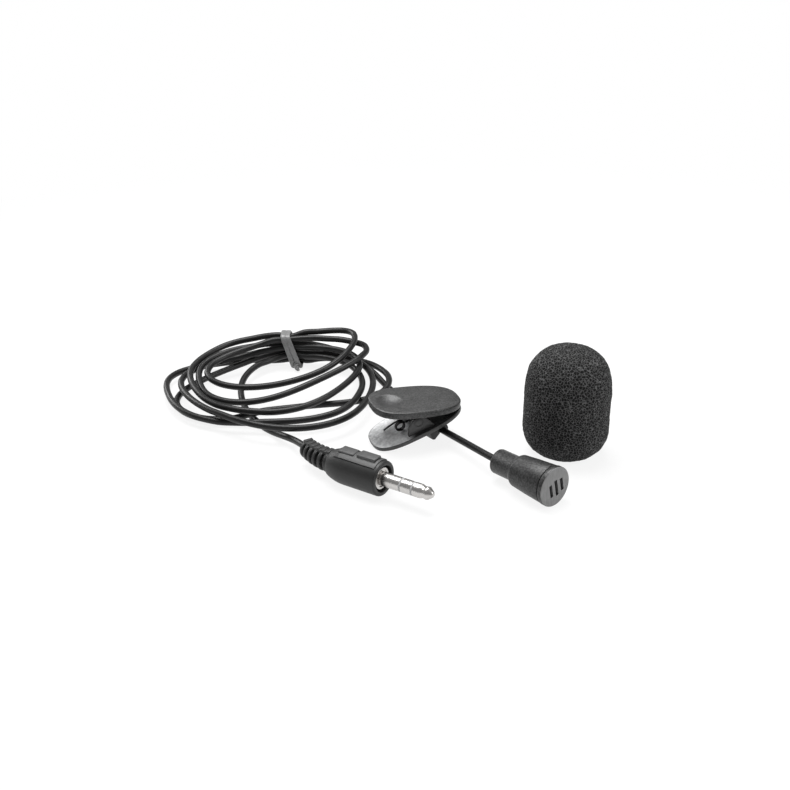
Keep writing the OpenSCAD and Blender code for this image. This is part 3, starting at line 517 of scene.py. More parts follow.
cap = bmesh.new()
turned(cap, [(0, 16.9), (4.66, 16.9), (4.7, 17.06), (4.86, 17.08), (4.95, 17.14),
             (FACE_R, 17.22), (FACE_R, 18.18), (4.97, 18.27), (4.9, 18.34), (4.78, 18.39),
             (4.6, 18.4), (0, 18.4)], steps=128)
for face in cap.faces:
    face.material_index = int(face.calc_center_median().z < 18.3)
cap_piece = piece("face_cap", cap, HEAD, [faced, sprayed], "head", ["front_cap"])
slots = bmesh.new()
SLOT_W = 0.94
SLOT_PITCH = 1.85
for row, slot_len in ((-1, 3.4), (0, 4.2), (1, 3.4)):
    block(slots, (-slot_len / 2, row * SLOT_PITCH - SLOT_W / 2, 16.5),
          (slot_len / 2, row * SLOT_PITCH + SLOT_W / 2, 19))
bmesh.ops.rotate(slots, verts=slots.verts, cent=(0, 0, 0),
                 matrix=Matrix.Rotation(math.radians(11), 3, "Z"))
bmesh.ops.translate(slots, verts=slots.verts, vec=(0.4, 0.5, 0))
upright = [e for e in slots.edges
           if abs(e.verts[0].co.z - e.verts[1].co.z) > 1]
bmesh.ops.bevel(slots, geom=upright, offset=0.12, segments=3, profile=0.5, affect="EDGES",
                material=-1)
bmesh.ops.transform(slots, matrix=Matrix.Scale(MM, 4) @ HEAD, verts=slots.verts)
cut_away(cap_piece, slots)

soft_rubber = Finish("soft_rubber", {"Specular IOR Level": 0.35})
bloom = soft_rubber.grain(0.9, 3.0)
soft_rubber.feed(
    Base_Color=soft_rubber.mix(bloom, grey(0.01), grey(0.022)),
    Roughness=0.55 + 0.2 * bloom,
    Normal=soft_rubber.bump(bloom, 0.02, 0.5))
bush = bmesh.new()
turned(bush, [(CORD_R, -0.35), (1.2, -0.35), (1.38, -0.25), (1.45, -0.05), (1.5, 0.1), (1.5, 1.6),
              (2.3, 1.6), (2.3, 2.2), (CORD_R, 2.2)], hollow=True, steps=64)
piece("cord_bush", bush, HEAD, [soft_rubber], "head", ["cord_grommet"])

woven = Finish("woven_mesh", {"Specular IOR Level": 0.3})
weave = woven.node("ShaderNodeTexVoronoi", {}, {"Vector": woven.place(), "Scale": 9000})
woven.feed(
    Base_Color=woven.mix(weave, grey(0.004), grey(0.02)),
    Roughness=0.7 + 0.2 * weave,
    Normal=woven.bump(weave, 0.03, 0.7))
can = Finish("aluminium_can", {"Metallic": 1.0})
rolled = can.grain(0.4, 3.0)
can.feed(Base_Color=can.mix(rolled, grey(0.55), grey(0.7)), Roughness=0.3 + 0.15 * rolled,
         Normal=can.bump(rolled, 0.01, 0.4))
wire_skin = Finish("wire_insulation", {"Specular IOR Level": 0.4})
print_lumps = wire_skin.grain(0.5, 2.0)
wire_skin.feed(
    Base_Color=wire_skin.mix(print_lumps, (0.35, 0.02, 0.02, 1), (0.5, 0.05, 0.04, 1)),
    Roughness=0.4 + 0.15 * print_lumps)
crimped = Finish("crimped_brass", {"Metallic": 1.0})
scuffs = crimped.grain(0.3, 3.0)
crimped.feed(
    Base_Color=crimped.mix(scuffs, (0.52, 0.36, 0.14, 1), (0.72, 0.55, 0.28, 1)),
    Roughness=0.28 + 0.2 * scuffs,
    Normal=crimped.bump(scuffs, 0.01, 0.4))


def refinished(name, finish):
    """Gives a node that is carried over from the frame its finish."""
    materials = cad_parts[name].data.materials
    materials.clear()
    materials.append(finish.material)


for inside, finish in (("dust_mesh", woven), ("electret_capsule", can),
                       ("capsule_boot", soft_rubber), ("signal_wires", wire_skin),
                       ("cord_ferrule", crimped)):
    refinished(inside, finish)

# ---- The clip's lower jaw ---------------------------------------------------------------------
# A pressed steel lever, painted dark grey, with a light grey inner face that has a fine rubbed
# grain.
# Painted light lifts the inner face away from the fingers' end, and painted shadow darkens it
# from the ears on. Two ears stand up from its sides and carry the pin. Three small teeth bite at
# the tip, and an open ring below it snaps over the cord.
CLIP = placed(Vector((-19.4, 13.8, 7.85)), 3.8, 0, 21.2)
LOWER = CLIP @ Matrix.Rotation(math.radians(-18.5), 4, "Y")
TIP_LEN = 12.8
LOWER_GRIP_LEN = 12.6
JAW_W = 14.2
WIDEST_X = -1.2
LOWER_TOP = -2.8217
LOWER_T = 1.2
EAR_IN = 4.4
EAR_T = 0.9


def jaw_corner(angle, grip_len, width, inset):
    """A place on a jaw's outline, a superellipse that is a little fuller towards the fingers."""
    c, s = math.cos(angle), math.sin(angle)
    reach, power = (TIP_LEN - WIDEST_X, 2.7) if c > 0 else (grip_len + WIDEST_X, 2.85)
    return (WIDEST_X + (reach - inset) * math.copysign(abs(c) ** (2 / power), c),
            (width / 2 - inset) * math.copysign(abs(s) ** (2 / power), s))


def even_angles(count):
    """Angles that put the corners of a superellipse about evenly."""
    angles = []
    for k in range(count):
        a = 2 * math.pi * k / count
        angles.append(a - 0.16 * math.sin(4 * a))
    return angles


def jaw_rim(grip_len, width, inset, z, count=144):
    """Places round a jaw's outline."""
    return [Vector((*jaw_corner(a, grip_len, width, inset), z)) for a in even_angles(count)]


painted = Finish("painted_steel", {"Specular IOR Level": 0.5})
mottle = painted.grain(0.5, 4.0, 0.65)
cloudy = painted.grain(4.0, 2.0)
painted.feed(
    Base_Color=painted.mix(mottle, grey(0.03), grey(0.075)),
    Metallic=0.3 + 0.15 * cloudy,
    Roughness=0.33 + 0.12 * mottle + 0.08 * cloudy,
    Normal=painted.bump(mottle, 0.02, 0.5))

bright = Finish("bright_steel", {"Specular IOR Level": 0.5})
rub = bright.grain(0.8, 4.0, 0.6)
stain = bright.grain(3.0, 2.0)
finger_end = (LOWER @ Vector((-LOWER_GRIP_LEN, 0, LOWER_TOP))) * MM
reach = bright.node("ShaderNodeVectorMath", {"operation": "DISTANCE"}, {
    0: bright.place(), 1: finger_end}, 1)
# Painted light and painted shadow on the inner face. Its grey is painted lighter out to 9 mm from
# the fingers' end, against the shade of the upper jaw over it. From 9.5 to 12.5 mm it is painted
# near black, where the ears and the upper jaw shade it. The stain and rub grains are the steel's
# own marks.
wear_and_painted_light = 0.6 * bright.step(reach, 0.001, 0.009) + 0.1 * stain + 0.3 * bright.step(rub, 0.3, 0.7)
painted_shadow = bright.step(reach, 0.0095, 0.0125)  # metres from the fingers' end
bright.feed(
    Base_Color=bright.mix(painted_shadow, bright.mix(wear_and_painted_light, grey(0.13, -0.01), grey(0.85, -0.01)),
                          grey(0.02)),
    Metallic=0.05 + 0.1 * rub,
    Roughness=0.42 + 0.16 * rub,
    Normal=bright.bump(rub, 0.015, 0.4))

width = JAW_W - 0.9
lower = bmesh.new()
under = LOWER_TOP - LOWER_T
skinned(lower, [jaw_rim(LOWER_GRIP_LEN, width, inset, z) for inset, z in (
    (0.85, LOWER_TOP), (0.12, LOWER_TOP), (0.03, LOWER_TOP - 0.04), (0, LOWER_TOP - 0.13),
    (0, under + 0.24), (0.06, under + 0.09), (0.2, under))])
lower.normal_update()
for face in lower.faces:
    face.material_index = int(face.calc_center_median().z > LOWER_TOP - 0.001)
for x in (TIP_LEN - 3.35, TIP_LEN - 2.35, TIP_LEN - 1.35):
    tooth = bmesh.ops.create_cone(lower, cap_ends=True, segments=3, radius1=0.34, radius2=0.34,
                                  depth=4.0)["verts"]
    bmesh.ops.rotate(lower, verts=tooth, cent=(0, 0, 0),
                     matrix=Matrix.Rotation(math.radians(90), 3, "X"))
    bmesh.ops.rotate(lower, verts=tooth, cent=(0, 0, 0),
                     matrix=Matrix.Rotation(math.radians(-90), 3, "Y"))
    bmesh.ops.translate(lower, verts=tooth, vec=(x, 0, LOWER_TOP + 0.14))
EAR = [(-3.75, LOWER_TOP - 0.2), (-3.6, -2.3), (-3.3, -1.7), (-3.15, -1.2), (-3.0, -0.6),
       (-2.6, 0.0), (-2.15, 0.4), (-1.7, 0.72), (-1.25, 1.02), (-0.8, 1.2), (-0.3, 1.3),
       (0.3, 1.34), (0.8, 1.28), (1.3, 1.08), (1.8, 0.7), (2.2, 0.15), (2.55, -0.42),
       (2.9, -1.05), (3.2, -1.75), (3.55, -2.4), (3.8, LOWER_TOP - 0.2)]


def slab(bm, outline, vec):
    """Draws a flat outline of places out along a vector into a solid."""
    flat = bm.faces.new([bm.verts.new(at) for at in outline])
    raised = bmesh.ops.extrude_face_region(bm, geom=[flat])
    bmesh.ops.translate(bm, verts=new_verts(raised), vec=vec)


for side in (-1, 1):
    low_y = side * (EAR_IN + EAR_T / 2) - EAR_T / 2
    slab(lower, [(x, low_y, z) for x, z in EAR], (0, EAR_T, 0))
ears = [e for e in lower.edges
        if len(e.link_faces) == 2 and e.calc_face_angle(0) > 1.2
        and min(v.co.z for v in e.verts) > LOWER_TOP + 0.02
        and all(abs(v.co.y) > EAR_IN - 0.1 for v in e.verts)]
bmesh.ops.bevel(lower, geom=ears, offset=0.14, segments=2, profile=0.5, affect="EDGES",
                material=-1)
piece("lower_lever", lower, LOWER, [painted, bright], "clip_base", ["lower_jaw"])

# The open ring under the jaw is black spring plastic on a riveted foot. Its mouth opens down and
# to the front, behind a flat tongue, so that the cord snaps in and still slides.


def eased(bm, width, segments=2, over=30.0):
    """Rounds every edge that is sharper than over degrees."""
    bm.normal_update()
    edges = [e for e in bm.edges
             if len(e.link_faces) == 2 and e.calc_face_angle(0.0) > math.radians(over)]
    bmesh.ops.bevel(bm, geom=edges, offset=width, offset_type="OFFSET", segments=segments,
                    profile=0.5, affect="EDGES", material=-1, clamp_overlap=True)


def sliced(bm, at, normal, outer):
    """Cuts a closed mesh at a plane, drops its outer side or else its inner, and closes it."""
    bmesh.ops.bisect_plane(bm, geom=bm.verts[:] + bm.edges[:] + bm.faces[:], plane_co=at,
                           plane_no=normal, clear_outer=outer, clear_inner=not outer)
    bmesh.ops.holes_fill(bm, edges=[e for e in bm.edges if e.is_boundary], sides=0)


moulded = Finish("moulded_black", {"Specular IOR Level": 0.5})
spark = moulded.grain(0.16, 2.0)
flow = moulded.grain(3.0, 2.0)
moulded.feed(
    Base_Color=moulded.mix(flow, grey(0.007), grey(0.016)),
    Roughness=0.38 + 0.16 * spark + 0.06 * flow,
    Normal=moulded.bump(spark, 0.02, 0.5))

HOOK_LEN = 3.5
HOOK_OUT = 1.9
HOOK_IN = CORD_R + 0.05
hook_outline = [(HOOK_OUT * math.cos(math.radians(a)), HOOK_OUT * math.sin(math.radians(a)))
                for a in (80, 88, 96, 104, 112, 120, 128, 136)]
hook_outline += [(-3.9, 1.3), (-3.9, -1.3), (-3.12, -1.3), (-3.4, -4.4), (-1.6, -4.4),
                 (1.9, -3.1), (2.06, -2.37)]
hook_outline += [(HOOK_IN * math.cos(math.radians(a)), HOOK_IN * math.sin(math.radians(a)))
                 for a in range(311, 79, -11)]
HOOK_FRAME = placed(HOOK, 0, math.degrees(math.acos(HOOK_DIR.z)),
                    math.degrees(math.atan2(HOOK_DIR.y, HOOK_DIR.x)))
hook = bmesh.new()
slab(hook, [(x, y, -HOOK_LEN / 2) for x, y in hook_outline], (0, 0, HOOK_LEN))
bmesh.ops.recalc_face_normals(hook, faces=hook.faces)
eased(hook, 0.13, 2, 40)
bmesh.ops.transform(hook, matrix=LOWER.inverted() @ HOOK_FRAME, verts=hook.verts)
sliced(hook, (0, 0, LOWER_TOP - LOWER_T / 2), (0, 0, 1), outer=True)
piece("cord_hook", hook, LOWER, [moulded], "clip_base")

# ---- The pin and the spring -------------------------------------------------------------------
# A steel pin is riveted through the ears. A black wire spring sits in front of it, wound twice,
# with one leg under the upper jaw and one on the lower jaw's inner face, and closes the clip.
pin = bmesh.new()
PIN_R = 0.7
PIN_HALF = EAR_IN + EAR_T
turned(pin, [(0, -PIN_HALF - 0.42), (0.5, -PIN_HALF - 0.4), (0.95, -PIN_HALF - 0.3),
             (1.18, -PIN_HALF - 0.12), (1.22, -PIN_HALF), (PIN_R, -PIN_HALF), (PIN_R, PIN_HALF),
             (1.22, PIN_HALF), (1.18, PIN_HALF + 0.12), (0.95, PIN_HALF + 0.3),
             (0.5, PIN_HALF + 0.4), (0, PIN_HALF + 0.42)], steps=48)
piece("rivet_pin", pin, CLIP @ Matrix.Rotation(math.radians(-90), 4, "X"), [painted],
      "clip_base", ["hinge_pin"])


def curl(turn):
    """A place on the spring's winding, turn degrees from its axis."""
    a = math.radians(turn)
    return Vector((-3.6 + 1.2 * math.cos(a), -1.9 + 0.56 * (turn - 90) / 360,
                   -2.5 + 1.2 * math.sin(a)))


winding_end = curl(830)
leg = [(-1.1, -1.9, 2.95), (-1.1, -1.9, 2.0), (-1.12, -1.9, 0.6), (-1.2, -1.9, -0.4),
       (-1.6, -1.9, -1.05), (-2.5, -1.9, -1.28)]
foot = [(-0.5, 0.25, -0.35), (-1.2, 0.9, -1.2), (-2.0, 1.65, -2.35), (-2.82, 2.38, -3.6)]
spring_points = [Vector(p) for p in leg] + [curl(90 + 14.8 * k) for k in range(51)]
spring_points += [winding_end + Vector(p) for p in foot]
wire_line = [CLIP @ Vector(p) for p in cord_line(spring_points, 0.15)]
black_wire = Finish("black_wire", {"Specular IOR Level": 0.5})
drawn = black_wire.grain(0.25, 3.0)
black_wire.feed(
    Base_Color=black_wire.mix(drawn, grey(0.008), grey(0.03)),
    Metallic=0.5 + 0.2 * drawn,
    Roughness=0.3 + 0.15 * drawn,
    Normal=black_wire.bump(drawn, 0.01, 0.4))
spring = laid("closing_spring", wire_line, 0.25, 3)
spring.data.materials.append(black_wire.material)
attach(spring, "clip_base")
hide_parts("torsion_spring")

# ---- The clip's upper jaw ---------------------------------------------------------------------
# Pressed from the same steel and painted all over. Its edge is folded down into a deep rim, its
# top edge is broken by a narrow bevel whose faces carry a painted highlight in light grey, and a
# round thumb dish is pressed into it over the fingers' end. Two lugs below it turn on the pin.
UPPER = CLIP @ Matrix.Rotation(math.radians(4.5), 4, "Y")
GRIP_LEN = 11.4
JAW_UNDER = 2.25
JAW_TOP = 4.0
DISH = Vector((-6.4, 0, 0))
DISH_R = 3.4
DISH_DEPTH = 0.85

rims = [jaw_rim(GRIP_LEN, JAW_W, inset, z) for inset, z in (
    (0.95, 3.0), (0.8, 2.85), (0.8, 2.4), (0.72, 2.29), (0.6, JAW_UNDER), (0.16, JAW_UNDER),
    (0.04, 2.3), (0, 2.42), (0, 3.05), (0, 3.62), (0.05, 3.78), (0.15, 3.9), (0.32, 3.985),
    (0.42, JAW_TOP))]


def dish_rim(share, radius, z):
    """Places between the jaw's outline (share 0) and a circle round the dish (share 1)."""
    places = []
    for edge in jaw_rim(GRIP_LEN, JAW_W, 0.42, 0):
        at = edge.lerp(DISH + radius * (edge - DISH).normalized(), share)
        places.append(Vector((at.x, at.y, z)))
    return places


rims += [dish_rim(share, DISH_R + 0.5, JAW_TOP) for share in (0.25, 0.5, 0.75, 1.0)]
rims.append(dish_rim(1, DISH_R + 0.25, JAW_TOP - 0.01))
rims.append(dish_rim(1, DISH_R + 0.08, JAW_TOP - 0.035))
for radius in (3.2, 2.9, 2.5, 2.0, 1.5, 1.0, 0.5):
    sunk = DISH_DEPTH * (1 - (radius / DISH_R) ** 2)
    rims.append(dish_rim(1, radius, JAW_TOP - 0.05 - sunk * 0.92))
upper = bmesh.new()
skinned(upper, rims)
to_upper = UPPER.inverted() @ LOWER
sliced(upper, to_upper @ Vector((0, 0, LOWER_TOP + 0.15)),
       to_upper.to_3x3() @ Vector((0, 0, 1)), outer=False)
for side in (-1, 1):
    middle = side * 2.95
    ear_ring = bmesh.ops.create_cone(upper, cap_ends=True, segments=40, radius1=1.5,
                                     radius2=1.5, depth=0.9)["verts"]
    bmesh.ops.rotate(upper, verts=ear_ring, cent=(0, 0, 0),
                     matrix=Matrix.Rotation(math.radians(90), 3, "X"))
    bmesh.ops.translate(upper, verts=ear_ring, vec=(0, middle, 0))
    block(upper, (-1.5, middle - 0.44, 0), (1.5, middle + 0.44, 3.2))

lid_steel = Finish("lid_steel", {"Specular IOR Level": 0.5})
fleck = lid_steel.grain(0.42, 4.0, 0.65)
patch = lid_steel.grain(3.5, 2.0)
lid_steel.feed(
    Base_Color=lid_steel.mix(lid_steel.step(fleck, 0.3, 0.7) * 0.6 + patch * 0.4, grey(0.006),
                             grey(0.095)),
    Metallic=0.3 + 0.15 * patch,
    Roughness=0.32 + 0.14 * fleck + 0.06 * patch,
    Normal=lid_steel.bump(fleck, 0.03, 0.5))
# The bevel's finish is light grey: a painted highlight along the top edge, varied by grain.
painted_highlight_steel = Finish("painted_highlight_steel", {"Specular IOR Level": 0.5})
highlight_grain = painted_highlight_steel.grain(0.9, 4.0, 0.6)
painted_highlight_steel.feed(
    Base_Color=painted_highlight_steel.mix(highlight_grain, grey(0.3), grey(0.6)),
    Metallic=0.5 + 0.2 * highlight_grain,
    Roughness=0.3 + 0.15 * highlight_grain)
upper.normal_update()
# The top bevel's faces, away from the dish, take the painted highlight.
for face in upper.faces:
    face.material_index = int(face.calc_center_median().z > 3.8 and 0.15 < face.normal.z < 0.97
                              and (face.calc_center_median() - DISH).xy.length > DISH_R + 0.6)
piece("upper_lever", upper, UPPER, [lid_steel, painted_highlight_steel], "clip_lever",
      ["upper_jaw"])

# ---- The plug ---------------------------------------------------------------------------------
# The grip is moulded in black PVC over the back of the shaft. A thin grained saddle lies along
# its top and carries a low bar and a higher one. The relief behind it is moulded in one shot with
# it: six flat ribs round the cord, joined by a spine, and it has taken a bend.
GRIP_R = 4.4
SADDLE_HALF = 36  # degrees to each side of the top


def bar(bm, low, high, ease=0.18):
    """A moulded bar between two corners, with its edges rounded."""
    corners = block(bm, low, high)
    edges = list({e for v in corners for e in v.link_edges})
    bmesh.ops.bevel(bm, geom=edges, offset=ease, segments=3, profile=0.5, affect="EDGES",
                    material=-1)


grained = Finish("grained_plastic", {"Specular IOR Level": 0.5})
pebble = grained.grain(0.32, 3.0, 0.65)
grained.feed(
    Base_Color=grained.mix(pebble, grey(0.012), grey(0.1)),
    Roughness=0.4 + 0.2 * pebble,
    Normal=grained.bump(pebble, 0.05, 0.7))

grip = bmesh.new()
turned(grip, [(0, 0), (2.9, 0), (3.15, 0.07), (3.42, 0.35), (3.6, 0.75), (3.8, 1.3), (4.0, 2.0),
              (4.2, 2.9), (4.33, 3.8), (4.39, 4.6), (GRIP_R, 5.2), (GRIP_R, 14.9), (4.37, 15.15),
              (4.28, 15.35), (4.12, 15.46), (3.95, 15.5), (3.5, 15.5), (3.36, 15.44), (3.3, 15.3),
              (3.3, 14.1), (0, 14.1)], steps=112)
saddle = [grip.verts.new((r, 0, z)) for r, z in (
    (3.6, 2.2), (4.24, 2.2), (4.42, 2.7), (4.58, 3.8), (4.66, 5.0), (4.66, 14.3),
    (4.6, 14.55), (4.4, 14.65), (3.6, 14.65))]
bmesh.ops.rotate(grip, verts=saddle, cent=(0, 0, 0),
                 matrix=Matrix.Rotation(math.radians(180 - SADDLE_HALF), 3, "Z"))
bmesh.ops.spin(grip, geom=[grip.faces.new(saddle)], cent=(0, 0, 0), axis=(0, 0, 1),
               angle=math.radians(2 * SADDLE_HALF), steps=24)
bar(grip, (-GRIP_R - 0.48, -1.5, 3.0), (-3.4, 1.5, 7.6), 0.3)
bar(grip, (-GRIP_R - 0.82, -1.45, 8.5), (-3.4, 1.45, 13.85), 0.26)
for face in grip.faces:
    face.material_index = int(face.calc_center_median().xy.length > GRIP_R + 0.1)
piece("plug_body", grip, PLUG, [moulded, grained], "head", ["plug_grip"])

relief = bmesh.new()
RIBS = 6
RIB_T = 1.0
RIBS_LEN = RELIEF_LEN - 0.8
RIB_STEP = (RIBS_LEN - RIB_T) / (RIBS - 1)


def joined(bm, part, place):
    """Moves a part's mesh to its place and adds it to another mesh."""
    bmesh.ops.transform(part, matrix=place, verts=part.verts)
    held = bpy.data.meshes.new("part")
    part.to_mesh(held)
    part.free()
    bm.from_mesh(held)
    bpy.data.meshes.remove(held)


core = [relief_frame(back) for back in np.linspace(0, RIBS_LEN - 0.3, 22)]
core_line = [frame_at.to_translation() for frame_at in core]
swept(relief, core_line, round_section(2.15, 32), Vector((0, 0, 1)),
      scale=lambda share: 1 - 0.22 * share)
for i in range(RIBS):
    back = i * RIB_STEP
    rib = bmesh.new()
    r = 2.85 - 0.5 * back / RELIEF_LEN
    turned(rib, [(0, -RIB_T), (r - 0.22, -RIB_T), (r - 0.06, -RIB_T + 0.08),
                 (r, -RIB_T + 0.25), (r, -0.25), (r - 0.06, -0.08), (r - 0.22, 0), (0, 0)],
           steps=48)
    bar(rib, (-r - 0.36, -1.2, -RIB_T), (-r + 1.2, 1.2, 0), 0.12)
    joined(relief, rib, relief_frame(back))
    if i + 1 < RIBS:
        web = bmesh.new()
        bar(web, (-r - 0.12, -1.15, -0.6), (-r + 1.4, 1.15, 0.6), 0.08)
        joined(relief, web, relief_frame(back + RIB_T / 2 + RIB_STEP / 2))
tail = bmesh.new()
turned(tail, [(CORD_R, -0.7), (1.25, -0.68), (1.5, -0.5), (1.6, 0.0), (CORD_R, 0.0)],
       hollow=True, steps=40)
joined(relief, tail, relief_frame(RIBS_LEN))
piece("bend_relief", relief, Matrix.Identity(4), [moulded], "head",
      ["strain_relief"])

# The shaft is turned from nickel-plated brass in three poles, with grey insulating rings pressed
# between them. A flange seats it in the grip's front recess.
plated = Finish("nickel_plate", {"Metallic": 1.0})
haze = plated.grain(0.5, 3.0)
hairline = plated.grain(0.06, 2.0)
plated.feed(
    Base_Color=plated.mix(haze, grey(0.5, 0.02), grey(0.64, 0.03)),
    Roughness=0.2 + 0.12 * haze + 0.04 * hairline,
    Normal=plated.bump(hairline, 0.001, 0.4))
SHAFT_R = 1.75
TIP_Z = 29.5
REAR_RING = 20.6
FRONT_RING = 23.9
RING_W = 0.5

sleeve = bmesh.new()
turned(sleeve, [(1.1, 11.0), (2.1, 11.0), (2.1, 14.1), (2.6, 14.1), (2.72, 14.16), (2.75, 14.3),
                (2.75, 14.85), (2.7, 14.96), (2.6, 15.0), (2.3, 15.0), (2.2, 14.95), (2.2, 14.7),
                (SHAFT_R, 14.7), (SHAFT_R, REAR_RING - 0.06), (SHAFT_R - 0.05, REAR_RING),
                (1.1, REAR_RING)], hollow=True)
piece("shaft_sleeve", sleeve, PLUG, [plated], "head", ["plug_sleeve"])
middle = bmesh.new()
turned(middle, [(0.75, REAR_RING + RING_W), (SHAFT_R - 0.05, REAR_RING + RING_W),
                (SHAFT_R, REAR_RING + RING_W + 0.06), (SHAFT_R, FRONT_RING - 0.06),
                (SHAFT_R - 0.05, FRONT_RING), (0.75, FRONT_RING)], hollow=True)
piece("shaft_ring", middle, PLUG, [plated], "head", ["plug_ring"])
front = bmesh.new()
z = FRONT_RING + RING_W
turned(front, [(0, z), (SHAFT_R - 0.05, z), (SHAFT_R, z + 0.06), (SHAFT_R, TIP_Z - 3.45),
               (SHAFT_R - 0.04, TIP_Z - 3.3), (1.66, TIP_Z - 3.08), (1.52, TIP_Z - 2.7),
               (1.48, TIP_Z - 2.54), (1.47, TIP_Z - 2.42), (1.48, TIP_Z - 2.28),
               (1.56, TIP_Z - 1.9), (1.6, TIP_Z - 1.7), (1.61, TIP_Z - 1.52),
               (1.57, TIP_Z - 1.32), (1.2, TIP_Z - 0.78), (0.85, TIP_Z - 0.3),
               (0.68, TIP_Z - 0.1), (0.45, TIP_Z - 0.01), (0, TIP_Z)])
piece("shaft_tip", front, PLUG, [plated], "head", ["plug_tip"])

nylon = Finish("grey_nylon", {"Specular IOR Level": 0.4})
grime = nylon.grain(0.3, 2.0)
nylon.feed(Base_Color=nylon.mix(grime, grey(0.28), grey(0.4)), Roughness=0.45 + 0.2 * grime,
           Normal=nylon.bump(grime, 0.01, 0.4))
rings = bmesh.new()
for z in (REAR_RING, FRONT_RING):
    turned(rings, [(1.0, z), (SHAFT_R - 0.03, z), (SHAFT_R - 0.03, z + RING_W),
                   (1.0, z + RING_W)], hollow=True)
piece("shaft_insulators", rings, PLUG, [nylon], "head", ["plug_insulators"])

lug_brass = Finish("lug_brass", {"Metallic": 1.0})
flux = lug_brass.grain(0.35, 3.0)
lug_brass.feed(
    Base_Color=lug_brass.mix(flux, (0.45, 0.28, 0.1, 1), (0.66, 0.46, 0.2, 1)),
    Roughness=0.3 + 0.2 * flux)
refinished("plug_terminals", lug_brass)

[c * MM for c in NECK_POINTS[0]]

# ---- The foam windscreen ----------------------------------------------------------------------
# Black open-cell foam, cut and pressed to a rounded cup with a blind bore for the head. It stands
# on its open end. Its skin is all broken cells, about two thirds of a millimetre wide.
FOAM_AT = Vector((19.7, 8.0, 0))
FOAM_R = 10.9
FOAM_H = 28.7
BORE_R = 4.2
BORE_DEPTH = 16.0


def foam_radius(z):
    """Radius of the foam at a height: tucked in below, widest at half height, domed on top."""
    below = min(z / 7.0, 1.0)
    above = max((z - (FOAM_H - 12.0)) / 12.0, 0.0)
    foot = 4.9 + 6.0 * math.sqrt(max(1 - (1 - below) ** 2, 0.0))
    return min(foot, FOAM_R * max(1 - min(above, 1.0) ** 2.5, 0.0) ** 0.42)


foam = bmesh.new()
skin = [(foam_radius(FOAM_H * k / 400), FOAM_H * k / 400) for k in range(401)]
gone = [0.0]
for p, q in zip(skin, skin[1:]):
    gone.append(gone[-1] + math.dist(p, q))
even = np.linspace(0, gone[-1], 150)
outline = list(zip(np.interp(even, gone, [p[0] for p in skin]),
                   np.interp(even, gone, [p[1] for p in skin])))
outline[-1] = (0.0, FOAM_H)
wall = [(0.0, BORE_DEPTH)] + [(BORE_R, BORE_DEPTH * (1 - k / 30)) for k in range(31)]
turned(foam, wall + [(float(r), float(z)) for r, z in outline], steps=240)
for corner in foam.verts:
    at = corner.co
    out = Vector((at.x, at.y, (at.z - 13) * 0.5)).normalized()
    depth = 1.0 if math.hypot(at.x, at.y) > BORE_R + 0.3 or at.z > BORE_DEPTH + 1 else 0.0
    near = noise.voronoi(at * 1.9 + Vector((3.1, 7.7, 1.3)))[0][0]
    lump = noise.noise(at * 0.33) * 0.16 + noise.noise(at * 1.1) * 0.07
    foot = smooth(at.z / 1.2)
    corner.co = at + out * depth * foot * (lump + 0.22 * min(near, 0.7) - 0.16)
for corner in foam.verts:
    corner.co.z = max(corner.co.z, 0.0)

CELLS_PER_M = 1450.0
cells = Finish("open_cell_foam", {"Specular IOR Level": 0.2})
where = cells.place()
wobble = cells.node("ShaderNodeVectorMath", {"operation": "SCALE"}, {
    "Vector": cells.node("ShaderNodeTexNoise", {}, {"Vector": where, "Scale": 2500.0}, 1),
    "Scale": 0.00035})
bent = cells.node("ShaderNodeVectorMath", {"operation": "ADD"}, {0: where, 1: wobble})
pore = cells.node("ShaderNodeTexVoronoi", {"feature": "F1"}, {
    "Vector": bent, "Scale": CELLS_PER_M})
strut = cells.node("ShaderNodeTexVoronoi", {"feature": "DISTANCE_TO_EDGE"}, {
    "Vector": bent, "Scale": CELLS_PER_M})
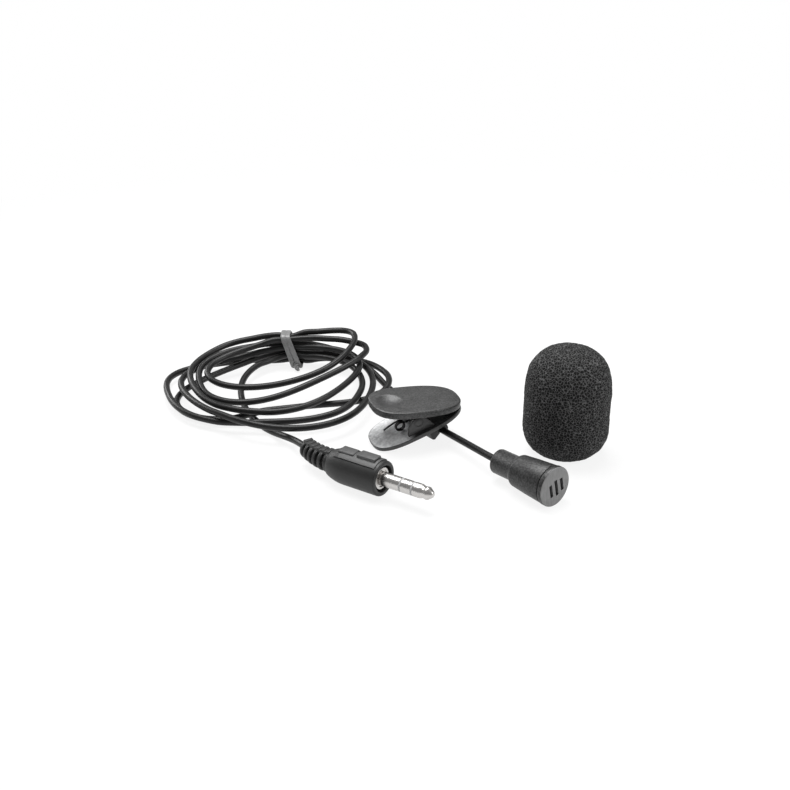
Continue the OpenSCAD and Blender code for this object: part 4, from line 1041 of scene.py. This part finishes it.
# Painted light and shade: the struts round each cell are painted lighter, as if lit, and the
# pores' hollows near black, as shade. The blotch grain varies the struts' tone at random.
edge = 1 - cells.step(strut, 0.0, 0.13)
blotch = cells.grain(1.6, 3.0)
cells.feed(
    Base_Color=cells.mix(edge * (0.3 + 0.7 * blotch), grey(0.004), grey(0.16)),
    Roughness=0.85 - 0.15 * edge,
    Normal=cells.bump(edge * 0.6 + (1 - pore) * 0.2 + blotch * 0.2, 0.25, 0.9))
foam_piece = piece("foam_cover", foam, Matrix.Translation(FOAM_AT), [cells], "windscreen",
                   ["foam_windscreen"], 180)

# ---- Light ------------------------------------------------------------------------------------
# A big soft box overhead and a little behind, and two weaker ones on the left and the right. The
# room gives an even, dim light from all sides, but looks plain white to the camera.
room = bpy.data.worlds.new("room")
scene.world = room
room.use_nodes = True
backdrop = room.node_tree.nodes["Background"]
backdrop.inputs["Color"].default_value = grey(1.0)
backdrop.inputs["Strength"].default_value = 0.3
white = room.node_tree.nodes.new("ShaderNodeBackground")
white.inputs["Color"].default_value = grey(1.0)
looked_at = room.node_tree.nodes.new("ShaderNodeLightPath")
either = room.node_tree.nodes.new("ShaderNodeMixShader")
for source, target in ((looked_at.outputs["Is Camera Ray"], either.inputs["Fac"]),
                       (backdrop.outputs[0], either.inputs[1]),
                       (white.outputs[0], either.inputs[2]),
                       (either.outputs[0], room.node_tree.nodes["World Output"].inputs[0])):
    room.node_tree.links.new(source, target)


def soft_box(name, at, aim, width, depth, watts):
    lamp = bpy.data.lights.new(name, "AREA")
    lamp.shape = "RECTANGLE"
    lamp.size = width
    lamp.size_y = depth
    lamp.energy = watts
    made = bpy.data.objects.new(name, lamp)
    made.location = at
    made.rotation_mode = "QUATERNION"
    made.rotation_quaternion = (Vector(aim) - Vector(at)).to_track_quat("-Z", "Y")
    scene.collection.objects.link(made)


soft_box("top_box", (-0.08, 0.14, 0.48), (-0.02, 0.02, 0), 0.42, 0.3, 3.9)
soft_box("left_box", (-0.45, 0.4, 0.22), (-0.02, 0.02, 0), 0.3, 0.2, 1.1)
soft_box("right_box", (0.5, -0.1, 0.3), (-0.02, 0.02, 0), 0.3, 0.3, 1.5)
